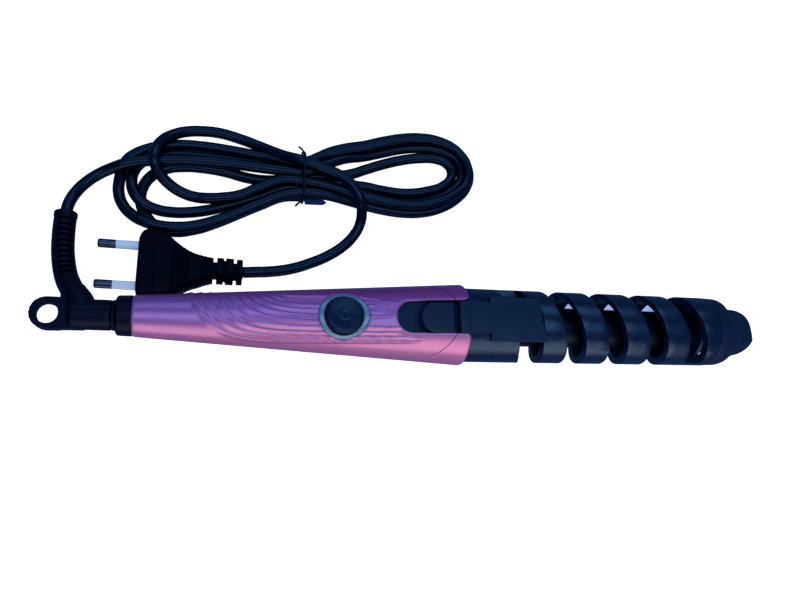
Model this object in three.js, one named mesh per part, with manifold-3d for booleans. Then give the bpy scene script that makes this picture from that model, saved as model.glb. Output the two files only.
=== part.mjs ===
// A spiral curling iron: a tapered handle on a cord swivel, a heated barrel, and a spiral guard that slides on it.
// Millimetres, +Z up. X runs along the iron from the hanging loop (-X) to the cool tip (+X), the button faces +Z,
// and the origin is under the middle of the iron, on the surface that it lies on.
import * as THREE from 'three';
import { mergeVertices } from 'three/addons/utils/BufferGeometryUtils.js';
import Module from 'manifold-3d';

const wasm = await Module();
wasm.setup();

// ---- Driving dimensions ----
const GAP = 0.3; // clearance between neighbouring pieces
const ROUND = 36; // facets round the large turned pieces
const FINE = 16; // facets round the small ones

const AXIS_HEIGHT = 19; // the handle's mouth is the widest circle, and it touches the surface
const HANDLE_TAIL = -132.9;
const HANDLE_MOUTH = 12.3;
const TAIL_RADIUS = 8.85;
const MOUTH_RADIUS = 19;
const TAPER = (MOUTH_RADIUS - TAIL_RADIUS) / (HANDLE_MOUTH - HANDLE_TAIL);
const SHELL_WALL = 2;
const GUARD_TRAVEL = 8.5;

const SLOT_REAR = -21.9; // thumb slot in the top shell, open at the mouth
const SLOT_HALF = 7.2;
const FLOOR_TOP = 12; // the slot's floor, above the axis

const BUTTON_X = -45.3;
const RING_RADIUS = 11.1; // along the handle
const RING_OVAL = 0.91; // its breadth over its length
const BUTTON_RADIUS = 8.2;
const BUTTON_TRAVEL = 1.2;

const BARREL_RADIUS = 9.5;
const BARREL_WALL = 1;
const BARREL_REAR = -15;
const BARREL_FRONT = 140.5;

const GUARD_RADIUS = 17.3;
const GUARD_BORE = 14.2;
const GUARD_REAR = 10.5;
const GUARD_FRONT = 142.5;
const PITCH = 21.86; // one turn of the hair channel
const CHANNEL_WIDTH = 10;
const CHANNEL_X = 34.35; // the channel's middle where it crosses the +Y side in its first turn
const LAST_TURN = 4; // the turns are numbered from 0

const TIP_END = 172.4;
const KNOB_HALF_THICKNESS = 6;

const SWIVEL_X = -141.3; // joint between the cord boot and the handle
const BOOT_RADIUS = 6.5;
const LOOP_X = -166.1;
const LOOP_RADIUS = 6.5;
const LOOP_HOLE = 4.35;
const LOOP_HALF_THICKNESS = 2.75;

const CORD_RADIUS = 2.6;
const RELIEF_RADIUS = 5.2;
const HANK_HEIGHT = 14;
const PLUG_HEIGHT = 6.85; // pins above the surface
const PIN_SPACING = 18.6;
const PIN_RADIUS = 2;
const PIN_LENGTH = 19;

// ---- Materials ----
const finish = (color, roughness, metalness = 0) => new THREE.MeshStandardMaterial({ color, roughness, metalness });
const PINK_SHELL = finish(0xb48ad0, 0.35, 0.5);
const GLOSS_BLACK = finish(0x141a2c, 0.3);
const MATTE_BLACK = finish(0x1a2238, 0.65);
const SOFT_BLACK = finish(0x20222e, 0.6);
const RING_TEAL = finish(0x6f93a6, 0.35);
const BARREL_COAT = finish(0x1c1a1c, 0.4, 0.3);
const STEEL = finish(0xb9bcc2, 0.3, 1);
const BRASS = finish(0xb8934a, 0.35, 1);
const ALUMINIUM = finish(0xc4c6c8, 0.45, 1);
const CERAMIC = finish(0xe6e1d6, 0.7);
const BOARD_GREEN = finish(0x1f5a3a, 0.6);
const SLEEVE_WHITE = finish(0xd8e4f0, 0.5);
const LAMP_CLEAR = finish(0xd6f2ff, 0.1);

// ---- Solids ----
function solidOf(geometry) {
  const bare = geometry.index ? geometry.toNonIndexed() : geometry.clone();
  bare.deleteAttribute('normal');
  bare.deleteAttribute('uv');
  const merged = mergeVertices(bare, 1e-4);
  return new wasm.Manifold(new wasm.Mesh({
    numProp: 3,
    vertProperties: merged.attributes.position.array,
    triVerts: new Uint32Array(merged.index.array),
  }));
}

function geometryOf(solid) {
  const mesh = solid.getMesh();
  const geometry = new THREE.BufferGeometry();
  geometry.setAttribute('position', new THREE.BufferAttribute(mesh.vertProperties, 3));
  geometry.setIndex(new THREE.BufferAttribute(mesh.triVerts, 1));
  geometry.computeVertexNormals();
  return geometry;
}

const join = (...geometries) => geometryOf(geometries.map(solidOf).reduce((a, b) => a.add(b)));
const cut = (body, ...tools) => geometryOf(tools.map(solidOf).reduce((a, b) => a.subtract(b), solidOf(body)));
const common = (a, b) => geometryOf(solidOf(a).intersect(solidOf(b)));

// A box from its low corner to its high corner.
function block([x0, y0, z0], [x1, y1, z1]) {
  const box = new THREE.BoxGeometry(x1 - x0, y1 - y0, z1 - z0);
  return box.translate((x0 + x1) / 2, (y0 + y1) / 2, (z0 + z1) / 2);
}

// A turned piece about the X axis, from [x, radius] points given in order of rising x along the outside.
function turned(points, facets = ROUND) {
  const profile = points.map(([x, r]) => new THREE.Vector2(r, x));
  return new THREE.LatheGeometry(profile, facets).rotateZ(-Math.PI / 2);
}

const rod = (x0, x1, radius, facets = ROUND) => turned([[x0, 0], [x0, radius], [x1, radius], [x1, 0]], facets);

// A tube about the X axis: its outside is a list of [x, radius], and its bore one as well, both in rising x.
const tube = (outside, bore, facets = ROUND) => turned([...outside, ...bore.toReversed(), outside[0]], facets);
const ring = (x0, x1, outer, inner, facets = ROUND) => tube([[x0, outer], [x1, outer]], [[x0, inner], [x1, inner]], facets);

// A round post along Z.
function post(x, y, z0, z1, radius, facets = FINE) {
  return new THREE.CylinderGeometry(radius, radius, z1 - z0, facets).rotateX(Math.PI / 2).translate(x, y, (z0 + z1) / 2);
}

// An outline in X and Y raised from z0 to z1.
function raised(shape, z0, z1, curveSegments = 8) {
  return new THREE.ExtrudeGeometry(shape, { depth: z1 - z0, bevelEnabled: false, curveSegments }).translate(0, 0, z0);
}

// A closed skin over rings of equal length, with a fan at each end. Seen against the way they follow one another,
// the rings run anticlockwise.
function skin(rings) {
  const count = rings[0].length;
  const centre = (ring) => [0, 1, 2].map((axis) => ring.reduce((sum, point) => sum + point[axis], 0) / count);
  const points = [...rings.flat(), centre(rings[0]), centre(rings.at(-1))];
  const faces = [];
  for (let k = 0; k < count; k += 1) {
    const next = (k + 1) % count;
    for (let i = 0; i + 1 < rings.length; i += 1) {
      const [a, b] = [i * count + k, i * count + next];
      faces.push(a, b, b + count, a, b + count, a + count);
    }
    const last = (rings.length - 1) * count;
    faces.push(points.length - 2, next, k, points.length - 1, last + k, last + next);
  }
  const geometry = new THREE.BufferGeometry();
  geometry.setAttribute('position', new THREE.Float32BufferAttribute(points.flat(), 3));
  return geometry.setIndex(faces);
}

// A round section swept along a curve.
function swept(curve, radius, steps, sides = 10) {
  const section = new THREE.Shape();
  section.absarc(0, 0, radius, 0, 2 * Math.PI);
  // An arc is divided into twice its curveSegments.
  return new THREE.ExtrudeGeometry(section, { steps, extrudePath: curve, curveSegments: sides / 2, bevelEnabled: false });
}

const vector = ([x, y, z]) => new THREE.Vector3(x, y, z);
const smooth = (points) => new THREE.CatmullRomCurve3(points.map(vector), false, 'centripetal');
const straight = (from, to) => new THREE.LineCurve3(vector(from), vector(to));
const handleRadius = (x) => TAIL_RADIUS + TAPER * (x - HANDLE_TAIL);

// ---- Scene graph: the iron's pieces are placed about its own axis, the cord and plug on the surface ----
const curlingIron = new THREE.Group();
const iron = new THREE.Group();
iron.position.z = AXIS_HEIGHT;
const lying = new THREE.Group();
curlingIron.add(iron, lying);

function add(group, name, geometry, material) {
  const mesh = new THREE.Mesh(geometry, material);
  mesh.name = name;
  group.add(mesh);
}

// ---- Handle shells ----
const SEAT_DEPTH = GUARD_TRAVEL + 2.5; // straight bore in the mouth that the guard's sleeve slides into
const SEAT_RADIUS = GUARD_RADIUS + GAP;
const SCREW_XS = { rear: -98, front: -26.5 };
const POST_RADIUS = 3;
const SCREW_HOLE = 1.4;
const HEAD_RECESS = 2.6;
const RECESS_DEPTH = 3;

function handleTube() {
  const seat = HANDLE_MOUTH - SEAT_DEPTH;
  return tube(
    [[HANDLE_TAIL, TAIL_RADIUS], [HANDLE_MOUTH, MOUTH_RADIUS]],
    [[HANDLE_TAIL, TAIL_RADIUS - SHELL_WALL], [seat, handleRadius(seat) - SHELL_WALL], [seat, SEAT_RADIUS],
      [HANDLE_MOUTH, SEAT_RADIUS]],
  );
}

// The thumb slot from above: a round rear end, straight sides, and lips rounded where it opens at the mouth.
function slotOutline() {
  const lip = 3;
  const beyond = HANDLE_MOUTH + 2;
  const outline = new THREE.Shape();
  outline.moveTo(beyond, SLOT_HALF + lip);
  outline.lineTo(HANDLE_MOUTH, SLOT_HALF + lip);
  outline.absarc(HANDLE_MOUTH - lip, SLOT_HALF + lip, lip, 0, -Math.PI / 2, true);
  outline.absarc(SLOT_REAR + SLOT_HALF, 0, SLOT_HALF, Math.PI / 2, 3 * Math.PI / 2, false);
  outline.absarc(HANDLE_MOUTH - lip, -SLOT_HALF - lip, lip, Math.PI / 2, 0, true);
  outline.lineTo(beyond, -SLOT_HALF - lip);
  return outline;
}

function handleTopShell() {
  const upperHalf = block([HANDLE_TAIL - 1, -MOUTH_RADIUS - 1, GAP / 2], [HANDLE_MOUTH + 1, MOUTH_RADIUS + 1, MOUTH_RADIUS + 1]);
  const reach = MOUTH_RADIUS + 1;
  const shell = cut(
    common(handleTube(), upperHalf),
    raised(slotOutline(), 1, reach),
    ovalPost(1, reach, RING_RADIUS + GAP),
  );
  const posts = Object.values(SCREW_XS).map((x) => cut(
    post(x, 0, GAP / 2, handleRadius(x) - SHELL_WALL / 2, POST_RADIUS),
    post(x, 0, -1, handleRadius(x) - SHELL_WALL - 1, SCREW_HOLE),
  ));
  return join(shell, ...posts);
}

function handleBottomShell() {
  const lowerHalf = block([HANDLE_TAIL - 1, -MOUTH_RADIUS - 1, -MOUTH_RADIUS - 1], [HANDLE_MOUTH + 1, MOUTH_RADIUS + 1, -GAP / 2]);
  const shell = common(handleTube(), lowerHalf);
  const posts = Object.values(SCREW_XS).map((x) => post(x, 0, SHELL_WALL / 2 - handleRadius(x), -GAP / 2, POST_RADIUS));
  const ledges = [BOARD.rear + 5, BOARD.front - 5].map((x) => common(
    block([x - 1, -BOARD.half, -MOUTH_RADIUS], [x + 1, BOARD.half, BOARD.bottom - GAP]),
    rod(x - 1, x + 1, handleRadius(x - 1) - SHELL_WALL / 2),
  ));
  const holes = Object.values(SCREW_XS).flatMap((x) => [
    post(x, 0, -MOUTH_RADIUS, 1, SCREW_HOLE),
    post(x, 0, -MOUTH_RADIUS, RECESS_DEPTH - handleRadius(x), HEAD_RECESS),
  ]);
  return cut(join(shell, ...posts, ...ledges), ...holes);
}

function shellScrew(x) {
  const headSeat = RECESS_DEPTH - handleRadius(x);
  const head = post(x, 0, headSeat - 1.8, headSeat - GAP, HEAD_RECESS - GAP, 12);
  const shank = post(x, 0, headSeat - 1, handleRadius(x) - SHELL_WALL - 2, SCREW_HOLE - GAP, 12);
  return join(head, shank);
}

// The slot's floor: a guide plate cut to the inside of the shells.
function slotFloor() {
  const front = -7.9;
  const rear = SLOT_REAR - 1;
  const inside = (x) => handleRadius(x) - SHELL_WALL - GAP;
  const plate = block([rear, -SLOT_HALF, FLOOR_TOP - 1], [front, SLOT_HALF, FLOOR_TOP]);
  return common(plate, turned([[rear - 1, 0], [rear - 1, inside(rear - 1)], [front + 1, inside(front + 1)], [front + 1, 0]]));
}

// ---- Button, board and lamp ----
const BOARD = { rear: -80, front: -31, half: 8, bottom: 1.5, thick: 1.6 };
const BOARD_TOP = BOARD.bottom + BOARD.thick + GAP;
const SWITCH_HEIGHT = 3.8;

// An oval post about the button's middle, from z0 to z1.
const ovalPost = (z0, z1, radius) => post(BUTTON_X, 0, z0, z1, radius, ROUND).scale(1, RING_OVAL, 1);

// The ring follows the handle's taper, a little proud of it.
function buttonRing() {
  const proud = 0.4;
  const depth = 3;
  const rear = BUTTON_X - RING_RADIUS - 1;
  const front = BUTTON_X + RING_RADIUS + 1;
  const skin = tube(
    [[rear, handleRadius(rear) + proud], [front, handleRadius(front) + proud]],
    [[rear, handleRadius(rear) - depth], [front, handleRadius(front) - depth]],
  );
  const collar = cut(ovalPost(1, 20, RING_RADIUS), post(BUTTON_X, 0, 0, 21, BUTTON_RADIUS + GAP, ROUND));
  return common(skin, collar);
}

// A domed button with a dimple, a stem over the switch, and two lugs that catch under the ring.
function powerButton() {
  const top = handleRadius(BUTTON_X) + 1.9;
  const skirt = 9.6;
  const stem = { radius: 2, bottom: BOARD_TOP + SWITCH_HEIGHT + BUTTON_TRAVEL + GAP };
  const profile = [[0, stem.bottom], [stem.radius, stem.bottom], [stem.radius, skirt], [BUTTON_RADIUS, skirt],
    [BUTTON_RADIUS, top - 1.6], [7.2, top - 0.6], [5, top - 0.1], [2.2, top], [1.4, top - 0.4], [0, top - 0.4]];
  const knob = new THREE.LatheGeometry(profile.map(([r, z]) => new THREE.Vector2(r, z)), 32);
  const reach = BUTTON_RADIUS + 1.6;
  const lugs = block([BUTTON_X - reach, -2, skirt], [BUTTON_X + reach, 2, skirt + 1]);
  return join(knob.rotateX(Math.PI / 2).translate(BUTTON_X, 0, 0), lugs);
}

function tactSwitch() {
  const body = block([BUTTON_X - 3, -3, BOARD_TOP], [BUTTON_X + 3, 3, BOARD_TOP + 3]);
  return join(body, post(BUTTON_X, 0, BOARD_TOP + 2.5, BOARD_TOP + SWITCH_HEIGHT, 1.7, 12));
}

function powerLamp() {
  const x = BUTTON_X - 6;
  const radius = 1.5;
  const waist = BOARD_TOP + 2.5;
  return join(post(x, 0, BOARD_TOP, waist, radius, 12), new THREE.SphereGeometry(radius, 12, 6).translate(x, 0, waist));
}

// ---- Heated barrel ----
const HEATER = { rear: 35, front: 115, half: 4, thick: 2.4 };
const BUSH = { rear: -16, front: -8 };

// The bush is cut flat on top, so that the slot's floor passes over it.
function barrelBush() {
  const body = ring(BUSH.rear, BUSH.front, handleRadius(BUSH.rear) - SHELL_WALL - GAP, BARREL_RADIUS + GAP);
  return cut(body, block([BUSH.rear - 1, -MOUTH_RADIUS, FLOOR_TOP - 1 - GAP], [BUSH.front + 1, MOUTH_RADIUS, MOUTH_RADIUS]));
}

function heaterClamp(side) {
  const inner = HEATER.thick / 2 + GAP;
  const body = rod(HEATER.rear, HEATER.front, BARREL_RADIUS - BARREL_WALL - GAP, FINE + 4);
  const [low, high] = side > 0 ? [inner, BARREL_RADIUS] : [-BARREL_RADIUS, -inner];
  return common(body, block([HEATER.rear - 1, -BARREL_RADIUS, low], [HEATER.front + 1, BARREL_RADIUS, high]));
}

function heaterPlate() {
  const h = HEATER.thick / 2;
  return block([HEATER.rear, -HEATER.half, -h], [HEATER.front, HEATER.half, h]);
}

const heaterLead = (y) => swept(straight([BOARD.front - 2, y, 0], [HEATER.rear - GAP, y, 0]), 0.9, 1, 8);

// The barrel runs in this ring at its front, and the guard's bore slides over it.
const NOSE_BUSH = { rear: 133.5, front: 140 };

function noseBush() {
  const body = ring(NOSE_BUSH.rear, NOSE_BUSH.front, GUARD_BORE - GAP, BARREL_RADIUS + GAP);
  return cut(body, noseScrewHole());
}

const noseScrewAxis = (geometry) => geometry.rotateX(THREE.MathUtils.degToRad(65)).translate(NOSE_BUSH.rear + 3.2, 0, 0);
const noseScrewHole = () => noseScrewAxis(post(0, 0, BARREL_RADIUS, GUARD_BORE + 1, 1.9, 12));
const noseScrew = () => noseScrewAxis(post(0, 0, BARREL_RADIUS + GAP, GUARD_BORE - GAP, 1.6, 12));

// ---- Spiral guard ----
// The hair channel is cut from above and from below. Each cut runs askew, with upright walls, so that the cuts above
// and below the axis meet at the guard's sides and make one winding channel.
function channelCut(middle, lean, [y0, y1], [z0, z1], extra = 0) {
  const half = CHANNEL_WIDTH / 2;
  const outline = new THREE.Shape();
  outline.moveTo(middle + lean * y0 - half - extra, y0);
  outline.lineTo(middle + lean * y0 + half, y0);
  outline.lineTo(middle + lean * y1 + half, y1);
  outline.lineTo(middle + lean * y1 - half - extra, y1);
  return raised(outline, z0, z1);
}

function channelCuts() {
  const reach = GUARD_RADIUS + 2;
  const lean = PITCH / 4 / (GUARD_RADIUS + 0.5); // the cuts above and below would meet just outside the guard
  const overlap = 0.3;
  const endLedge = 3.3; // the channel stops at this height above the axis at both its ends
  const entryExtra = 2; // the first cut is wider, towards the handle
  const cuts = [];
  for (let turn = 0; turn <= LAST_TURN; turn += 1) {
    const above = CHANNEL_X + PITCH * (turn + 0.25);
    const extra = turn === 0 ? entryExtra : 0;
    const y0 = turn === LAST_TURN ? 0 : -reach;
    const y1 = turn === 0 ? 0 : reach;
    cuts.push(channelCut(above, -lean, [-reach, reach], [endLedge, reach], extra));
    cuts.push(channelCut(above, -lean, [y0, y1], [-overlap, endLedge + overlap], extra));
    if (turn < LAST_TURN) cuts.push(channelCut(above + PITCH / 2, lean, [-reach, reach], [-reach, overlap]));
  }
  return cuts;
}

// The tongue from above: a neck as wide as the slot, then a broad plate that ends on the first turn.
const TONGUE = { rear: 6.9, neckEnd: 21.3, neckHalf: SLOT_HALF - 0.4, half: 10.2, frontLeft: 46, frontRight: 48.5 };
const TONGUE_BOTTOM = 14.3;
const TONGUE_TOP = 17.6;

function tongueOutline(grow = 0) {
  const { rear, neckEnd, neckHalf, half, frontLeft, frontRight } = TONGUE;
  const outline = new THREE.Shape();
  outline.moveTo(rear - grow, -neckHalf - grow);
  outline.lineTo(neckEnd - grow, -neckHalf - grow);
  outline.lineTo(neckEnd - grow, -half - grow);
  outline.lineTo(frontRight + grow, -half - grow);
  outline.lineTo(frontLeft + grow, half + grow);
  outline.lineTo(neckEnd - grow, half + grow);
  outline.lineTo(neckEnd - grow, neckHalf + grow);
  outline.lineTo(rear - grow, neckHalf + grow);
  return outline;
}

function spiralGuard() {
  const guideLength = 2.5;
  const body = tube(
    [[GUARD_REAR, GUARD_RADIUS], [GUARD_FRONT, GUARD_RADIUS]],
    [[GUARD_REAR, BARREL_RADIUS + 0.5], [GUARD_REAR + guideLength, BARREL_RADIUS + 0.5],
      [GUARD_REAR + guideLength, GUARD_BORE], [GUARD_FRONT, GUARD_BORE]],
  );
  return cut(body, ...channelCuts(), raised(tongueOutline(GAP), TONGUE_BOTTOM - GAP, GUARD_RADIUS + 2));
}

// Under the groove a thin bridge runs back from the tongue and carries the thumb pad.
const PAD = { rear: -11.2, front: 4.6, half: 6.9, bottom: 13.5, top: 17.1 };

function guardTongue() {
  const bridge = block([PAD.rear + PAD.half, -PAD.half, FLOOR_TOP + GAP], [GUARD_REAR - GAP, PAD.half, PAD.bottom - GAP]);
  const riser = block([TONGUE.rear, -TONGUE.neckHalf, FLOOR_TOP + GAP], [GUARD_REAR - GAP, TONGUE.neckHalf, TONGUE_BOTTOM + 1]);
  return join(raised(tongueOutline(), TONGUE_BOTTOM, TONGUE_TOP), bridge, riser);
}

function thumbPad() {
  const outline = new THREE.Shape();
  outline.moveTo(PAD.front, -PAD.half);
  outline.lineTo(PAD.front, PAD.half);
  outline.absarc(PAD.rear + PAD.half, 0, PAD.half, Math.PI / 2, 3 * Math.PI / 2, false);
  return raised(outline, PAD.bottom, PAD.top, 12);
}

// The return spring sits round the barrel, between the bush and the guard's rear face.
function returnSpring() {
  const wire = 0.7;
  const radius = BARREL_RADIUS + 1.2;
  const coils = 5;
  const from = BUSH.front + GAP + wire;
  const to = GUARD_REAR - GAP - wire;
  class Helix extends THREE.Curve {
    getPoint(t, target = new THREE.Vector3()) {
      const angle = 2 * Math.PI * coils * t;
      return target.set(from + (to - from) * t, radius * Math.cos(angle), radius * Math.sin(angle));
    }
  }
  return swept(new Helix(), wire, coils * 12, 6);
}

// ---- Cool tip: a shoulder that flattens from round to a winged knob, hollow behind for the nose bush ----
// [x, half breadth, half height, squareness]: a squareness of 2 is an ellipse.
const TIP_SECTIONS = [
  [GUARD_FRONT + GAP, 17.1, 17.1, 2], [147, 17.05, 16.9, 2], [148.6, 16.9, 16.3, 2], [150.2, 16.7, 15, 2],
  [152.3, 15.9, 12.6, 2.1], [154.8, 14.3, 9.2, 2.4], [157, 12.7, 6.7, 2.8], [158.4, 12, 5.9, 3],
];

function tipSection([x, breadth, height, squareness]) {
  return Array.from({ length: ROUND }, (_, k) => {
    const angle = 2 * Math.PI * k / ROUND;
    const along = (value) => Math.sign(value) * Math.abs(value) ** (2 / squareness);
    return [x, breadth * along(Math.cos(angle)), height * along(Math.sin(angle))];
  });
}

function coolTip() {
  const rear = 151; // inside the shoulder
  const outline = new THREE.Shape();
  outline.moveTo(rear, -12.6);
  outline.lineTo(157.5, -12.5);
  outline.bezierCurveTo(163, -11.6, 167.5, -9.5, TIP_END - 2, -6.9);
  outline.quadraticCurveTo(TIP_END, -5.2, TIP_END, -3.2);
  outline.lineTo(TIP_END - 0.3, 2.5);
  outline.bezierCurveTo(TIP_END - 0.5, 7.5, 167.5, 11.7, 161.5, 11.8);
  outline.lineTo(rear, 12);
  const rim = outline.getPoints(8);
  // The knob's flats are shorter and narrower than its rim.
  const level = (z, length, breadth) => rim.map(({ x, y }) => [rear + (x - rear) * length, y * breadth, z]);
  const flat = [0.8, 0.66];
  const rimHalf = 1.4;
  const knob = skin([level(-KNOB_HALF_THICKNESS, ...flat), level(-rimHalf, 1, 1), level(rimHalf, 1, 1),
    level(KNOB_HALF_THICKNESS, ...flat)]);
  const bushRoom = NOSE_BUSH.front + GUARD_TRAVEL + 2 * GAP;
  const cavity = turned([[GUARD_FRONT, 0], [GUARD_FRONT, GUARD_BORE + GAP], [bushRoom, GUARD_BORE + GAP],
    [bushRoom, BARREL_RADIUS + 2 * GAP], [bushRoom + 1.5, BARREL_RADIUS + 2 * GAP], [bushRoom + 1.5, 0]]);
  return cut(join(skin(TIP_SECTIONS.map(tipSection)), knob), cavity);
}

// ---- Cord swivel ----
const SHAFT = { front: -110, outer: 3.6, bore: 2.2 };

function tailCollar() {
  const rear = SWIVEL_X + GAP;
  const chamfer = 1.9;
  const spigot = { radius: TAIL_RADIUS - SHELL_WALL - GAP, front: -129.5 };
  const bore = SHAFT.outer + GAP;
  return tube(
    [[rear, 6.9], [rear + chamfer, 8.7], [HANDLE_TAIL - GAP, 8.7], [HANDLE_TAIL - GAP, spigot.radius],
      [spigot.front, spigot.radius]],
    [[rear, bore], [spigot.front, bore]],
  );
}

function swivelShaft() {
  const flange = { rear: -129.1, front: -127.6, radius: 6 };
  return tube(
    [[SWIVEL_X, SHAFT.outer], [flange.rear, SHAFT.outer], [flange.rear, flange.radius], [flange.front, flange.radius],
      [flange.front, SHAFT.outer], [SHAFT.front, SHAFT.outer]],
    [[SWIVEL_X, SHAFT.bore], [SHAFT.front, SHAFT.bore]],
    FINE,
  );
}

const CONTACT_XS = { live: -123, neutral: -116 };
const CONTACT_RADIUS = 5;
const contactRing = (x) => ring(x - 1.5, x + 1.5, CONTACT_RADIUS, SHAFT.outer + GAP, FINE);

// A sprung leaf under each ring, with the wire to the board on its front end.
const BRUSH_HALF = 2.2;
const brush = (x, side) => block([x - 1, side > 0 ? -1 : -BRUSH_HALF, -CONTACT_RADIUS - 0.9],
  [x + 1, side > 0 ? BRUSH_HALF : 1, -CONTACT_RADIUS - GAP]);

// It runs under the rings, past the rear post, and up to the board.
function mainsLead(x, side) {
  const down = -CONTACT_RADIUS - 1.2;
  const past = POST_RADIUS + 1.6;
  const route = [
    [x + 1 + GAP, side * BRUSH_HALF, down], [-112, side * BRUSH_HALF, down], [SCREW_XS.rear - POST_RADIUS, side * past, -4.2],
    [SCREW_XS.rear + POST_RADIUS, side * past, -3], [BOARD.rear - GAP, side * past, BOARD.bottom + BOARD.thick / 2],
  ];
  return swept(smooth(route), 0.9, 8, 8);
}

// ---- Cord boot, strain relief and cord ----
// The relief's path leaves the boot sideways and slopes down to the surface.
const RELIEF_PATH = smooth([
  [-152.5, 1, 18.6], [-154.3, 5.5, 18], [-157.3, 10, 16.4], [-161.4, 18, 12.6], [-164, 28.8, 9], [-164.9, 39.4, 6.6],
  [-164.8, 48.3, 5.6],
]);
const ELBOW_SHARE = 0.22;

// The stretch of a curve between two shares of its length.
function stretch(curve, from, to, points = 12) {
  return new THREE.CatmullRomCurve3(
    Array.from({ length: points }, (_, i) => curve.getPointAt(from + (to - from) * i / (points - 1))),
    false,
    'centripetal',
  );
}

function cordBoot() {
  const neck = turned([[-158, 0], [-158, 5.4], [-156.6, BOOT_RADIUS], [SWIVEL_X, BOOT_RADIUS], [SWIVEL_X, 0]])
    .translate(0, 0, AXIS_HEIGHT);
  const low = AXIS_HEIGHT - LOOP_HALF_THICKNESS;
  const high = AXIS_HEIGHT + LOOP_HALF_THICKNESS;
  const plate = new THREE.Shape();
  plate.moveTo(-153, -LOOP_RADIUS);
  plate.lineTo(-153, LOOP_RADIUS);
  plate.absarc(LOOP_X, 0, LOOP_RADIUS, Math.PI / 2, 3 * Math.PI / 2, false);
  const elbow = swept(stretch(RELIEF_PATH, 0, ELBOW_SHARE, 5), RELIEF_RADIUS + 0.4, 4, 12);
  const solid = join(neck, raised(plate, low, high, 12), elbow);
  const shaftSeat = rod(SWIVEL_X - GAP, SWIVEL_X + 1, SHAFT.outer + 1).translate(0, 0, AXIS_HEIGHT);
  return cut(solid, post(LOOP_X, 0, low - 1, high + 1, LOOP_HOLE), shaftSeat);
}

const strainRelief = () => swept(stretch(RELIEF_PATH, ELBOW_SHARE + 0.01, 1), RELIEF_RADIUS, 12);

// The cord's free stretches are routed by hand over the surface. The hank between them is one plain solid.
const LEAD_ROUTE = [
  [-164.8, 48.9, 5.6], [-164.1, 53.5, 4.9], [-161.8, 59.2, 3.9], [-158, 64.4, 3.4], [-153, 68.6, 3.8], [-147.4, 71.2, 5.2],
];
const TAIL_ROUTE = [
  [-31.6, 57.4, 6.4], [-32.4, 52, 4.6], [-35, 46.6, 3.3], [-40, 41, 2.7], [-47, 36, 2.7], [-55.5, 31.8, 2.7],
  [-65, 28.3, 3], [-75, 26, 4.6], [-82, 25, 6.2], [-87.2, 24.4, PLUG_HEIGHT],
];

// Two lobes of different breadth, pinched where the tie holds the turns together.
function hankOutline() {
  const outline = new THREE.Shape();
  outline.moveTo(-62, 62);
  outline.bezierCurveTo(-82, 57, -98, 42.6, -118, 41.6);
  outline.bezierCurveTo(-133, 41.6, -146, 51, -146, 64);
  outline.bezierCurveTo(-146, 76, -138, 80, -132, 84);
  outline.bezierCurveTo(-127, 92, -120, 96, -108, 96);
  outline.bezierCurveTo(-92, 95, -76, 85.6, -62, 86);
  outline.bezierCurveTo(-42, 88, -20, 103.5, 3, 103.5);
  outline.bezierCurveTo(18, 102, 28, 92, 28, 82);
  outline.bezierCurveTo(26, 68, 10, 57.5, -8, 57.5);
  outline.bezierCurveTo(-28, 58, -42, 63, -62, 62);
  return outline;
}

const cordHank = () => raised(hankOutline(), 0, HANK_HEIGHT, 10);

// A flat wire tie round the waist of the hank, lying on it.
function twistTie() {
  const top = HANK_HEIGHT + GAP;
  const bow = new THREE.Shape();
  bow.moveTo(-63.6, 57.5);
  bow.lineTo(-60.2, 60);
  bow.lineTo(-49.5, 60.2);
  bow.lineTo(-48.5, 61.6);
  bow.lineTo(-51, 62.6);
  bow.lineTo(-59.4, 62.8);
  bow.lineTo(-60.4, 86);
  bow.lineTo(-62.8, 87.6);
  bow.lineTo(-61.6, 62);
  return raised(bow, top, top + 0.9);
}

// ---- Plug: flat body with hollow shoulders, two collars, and two insulated pins ----
const PLUG = { face: -133.3, y: 25.4, turn: 0.026, half: 16.8, height: 13.7 };

function placePlug(geometry) {
  return geometry.rotateZ(-PLUG.turn).translate(PLUG.face, PLUG.y, PLUG_HEIGHT);
}

function plugBody() {
  const outline = new THREE.Shape();
  const { half } = PLUG;
  outline.moveTo(0, -11);
  outline.bezierCurveTo(0.4, -14, 1.6, -half, 5, -half);
  outline.bezierCurveTo(13, -half, 14, -8.8, 24, -6.8);
  outline.lineTo(33.5, -5.8);
  outline.lineTo(33.5, 5.8);
  outline.lineTo(24, 6.8);
  outline.bezierCurveTo(14, 8.8, 13, half, 5, half);
  outline.bezierCurveTo(1.6, half, 0.4, 14, 0, 11);
  const high = PLUG.height / 2 - 0.1;
  const collars = [[32, 34.6, 4], [34, 41.4, 6.4], [41, 43, 4.2], [42.6, 45.6, 6]].map(([u0, u1, r]) => rod(u0, u1, r, FINE));
  return placePlug(join(raised(outline, -high, high), ...collars));
}

const pinPlace = (geometry, side) => placePlug(geometry.translate(0, side * PIN_SPACING / 2, 0));
const SLEEVE_LENGTH = 10;

function plugPin(side) {
  const shank = PIN_RADIUS - 0.8;
  const tip = -PIN_LENGTH;
  return pinPlace(turned([[tip, 0], [tip, 1], [tip + 1, PIN_RADIUS], [-SLEEVE_LENGTH - GAP, PIN_RADIUS],
    [-SLEEVE_LENGTH - GAP, shank], [-GAP, shank], [-GAP, 0]], 12), side);
}

const pinSleeve = (side) => pinPlace(ring(-SLEEVE_LENGTH, -GAP, PIN_RADIUS, PIN_RADIUS - 0.8 + GAP, 12), side);

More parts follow.
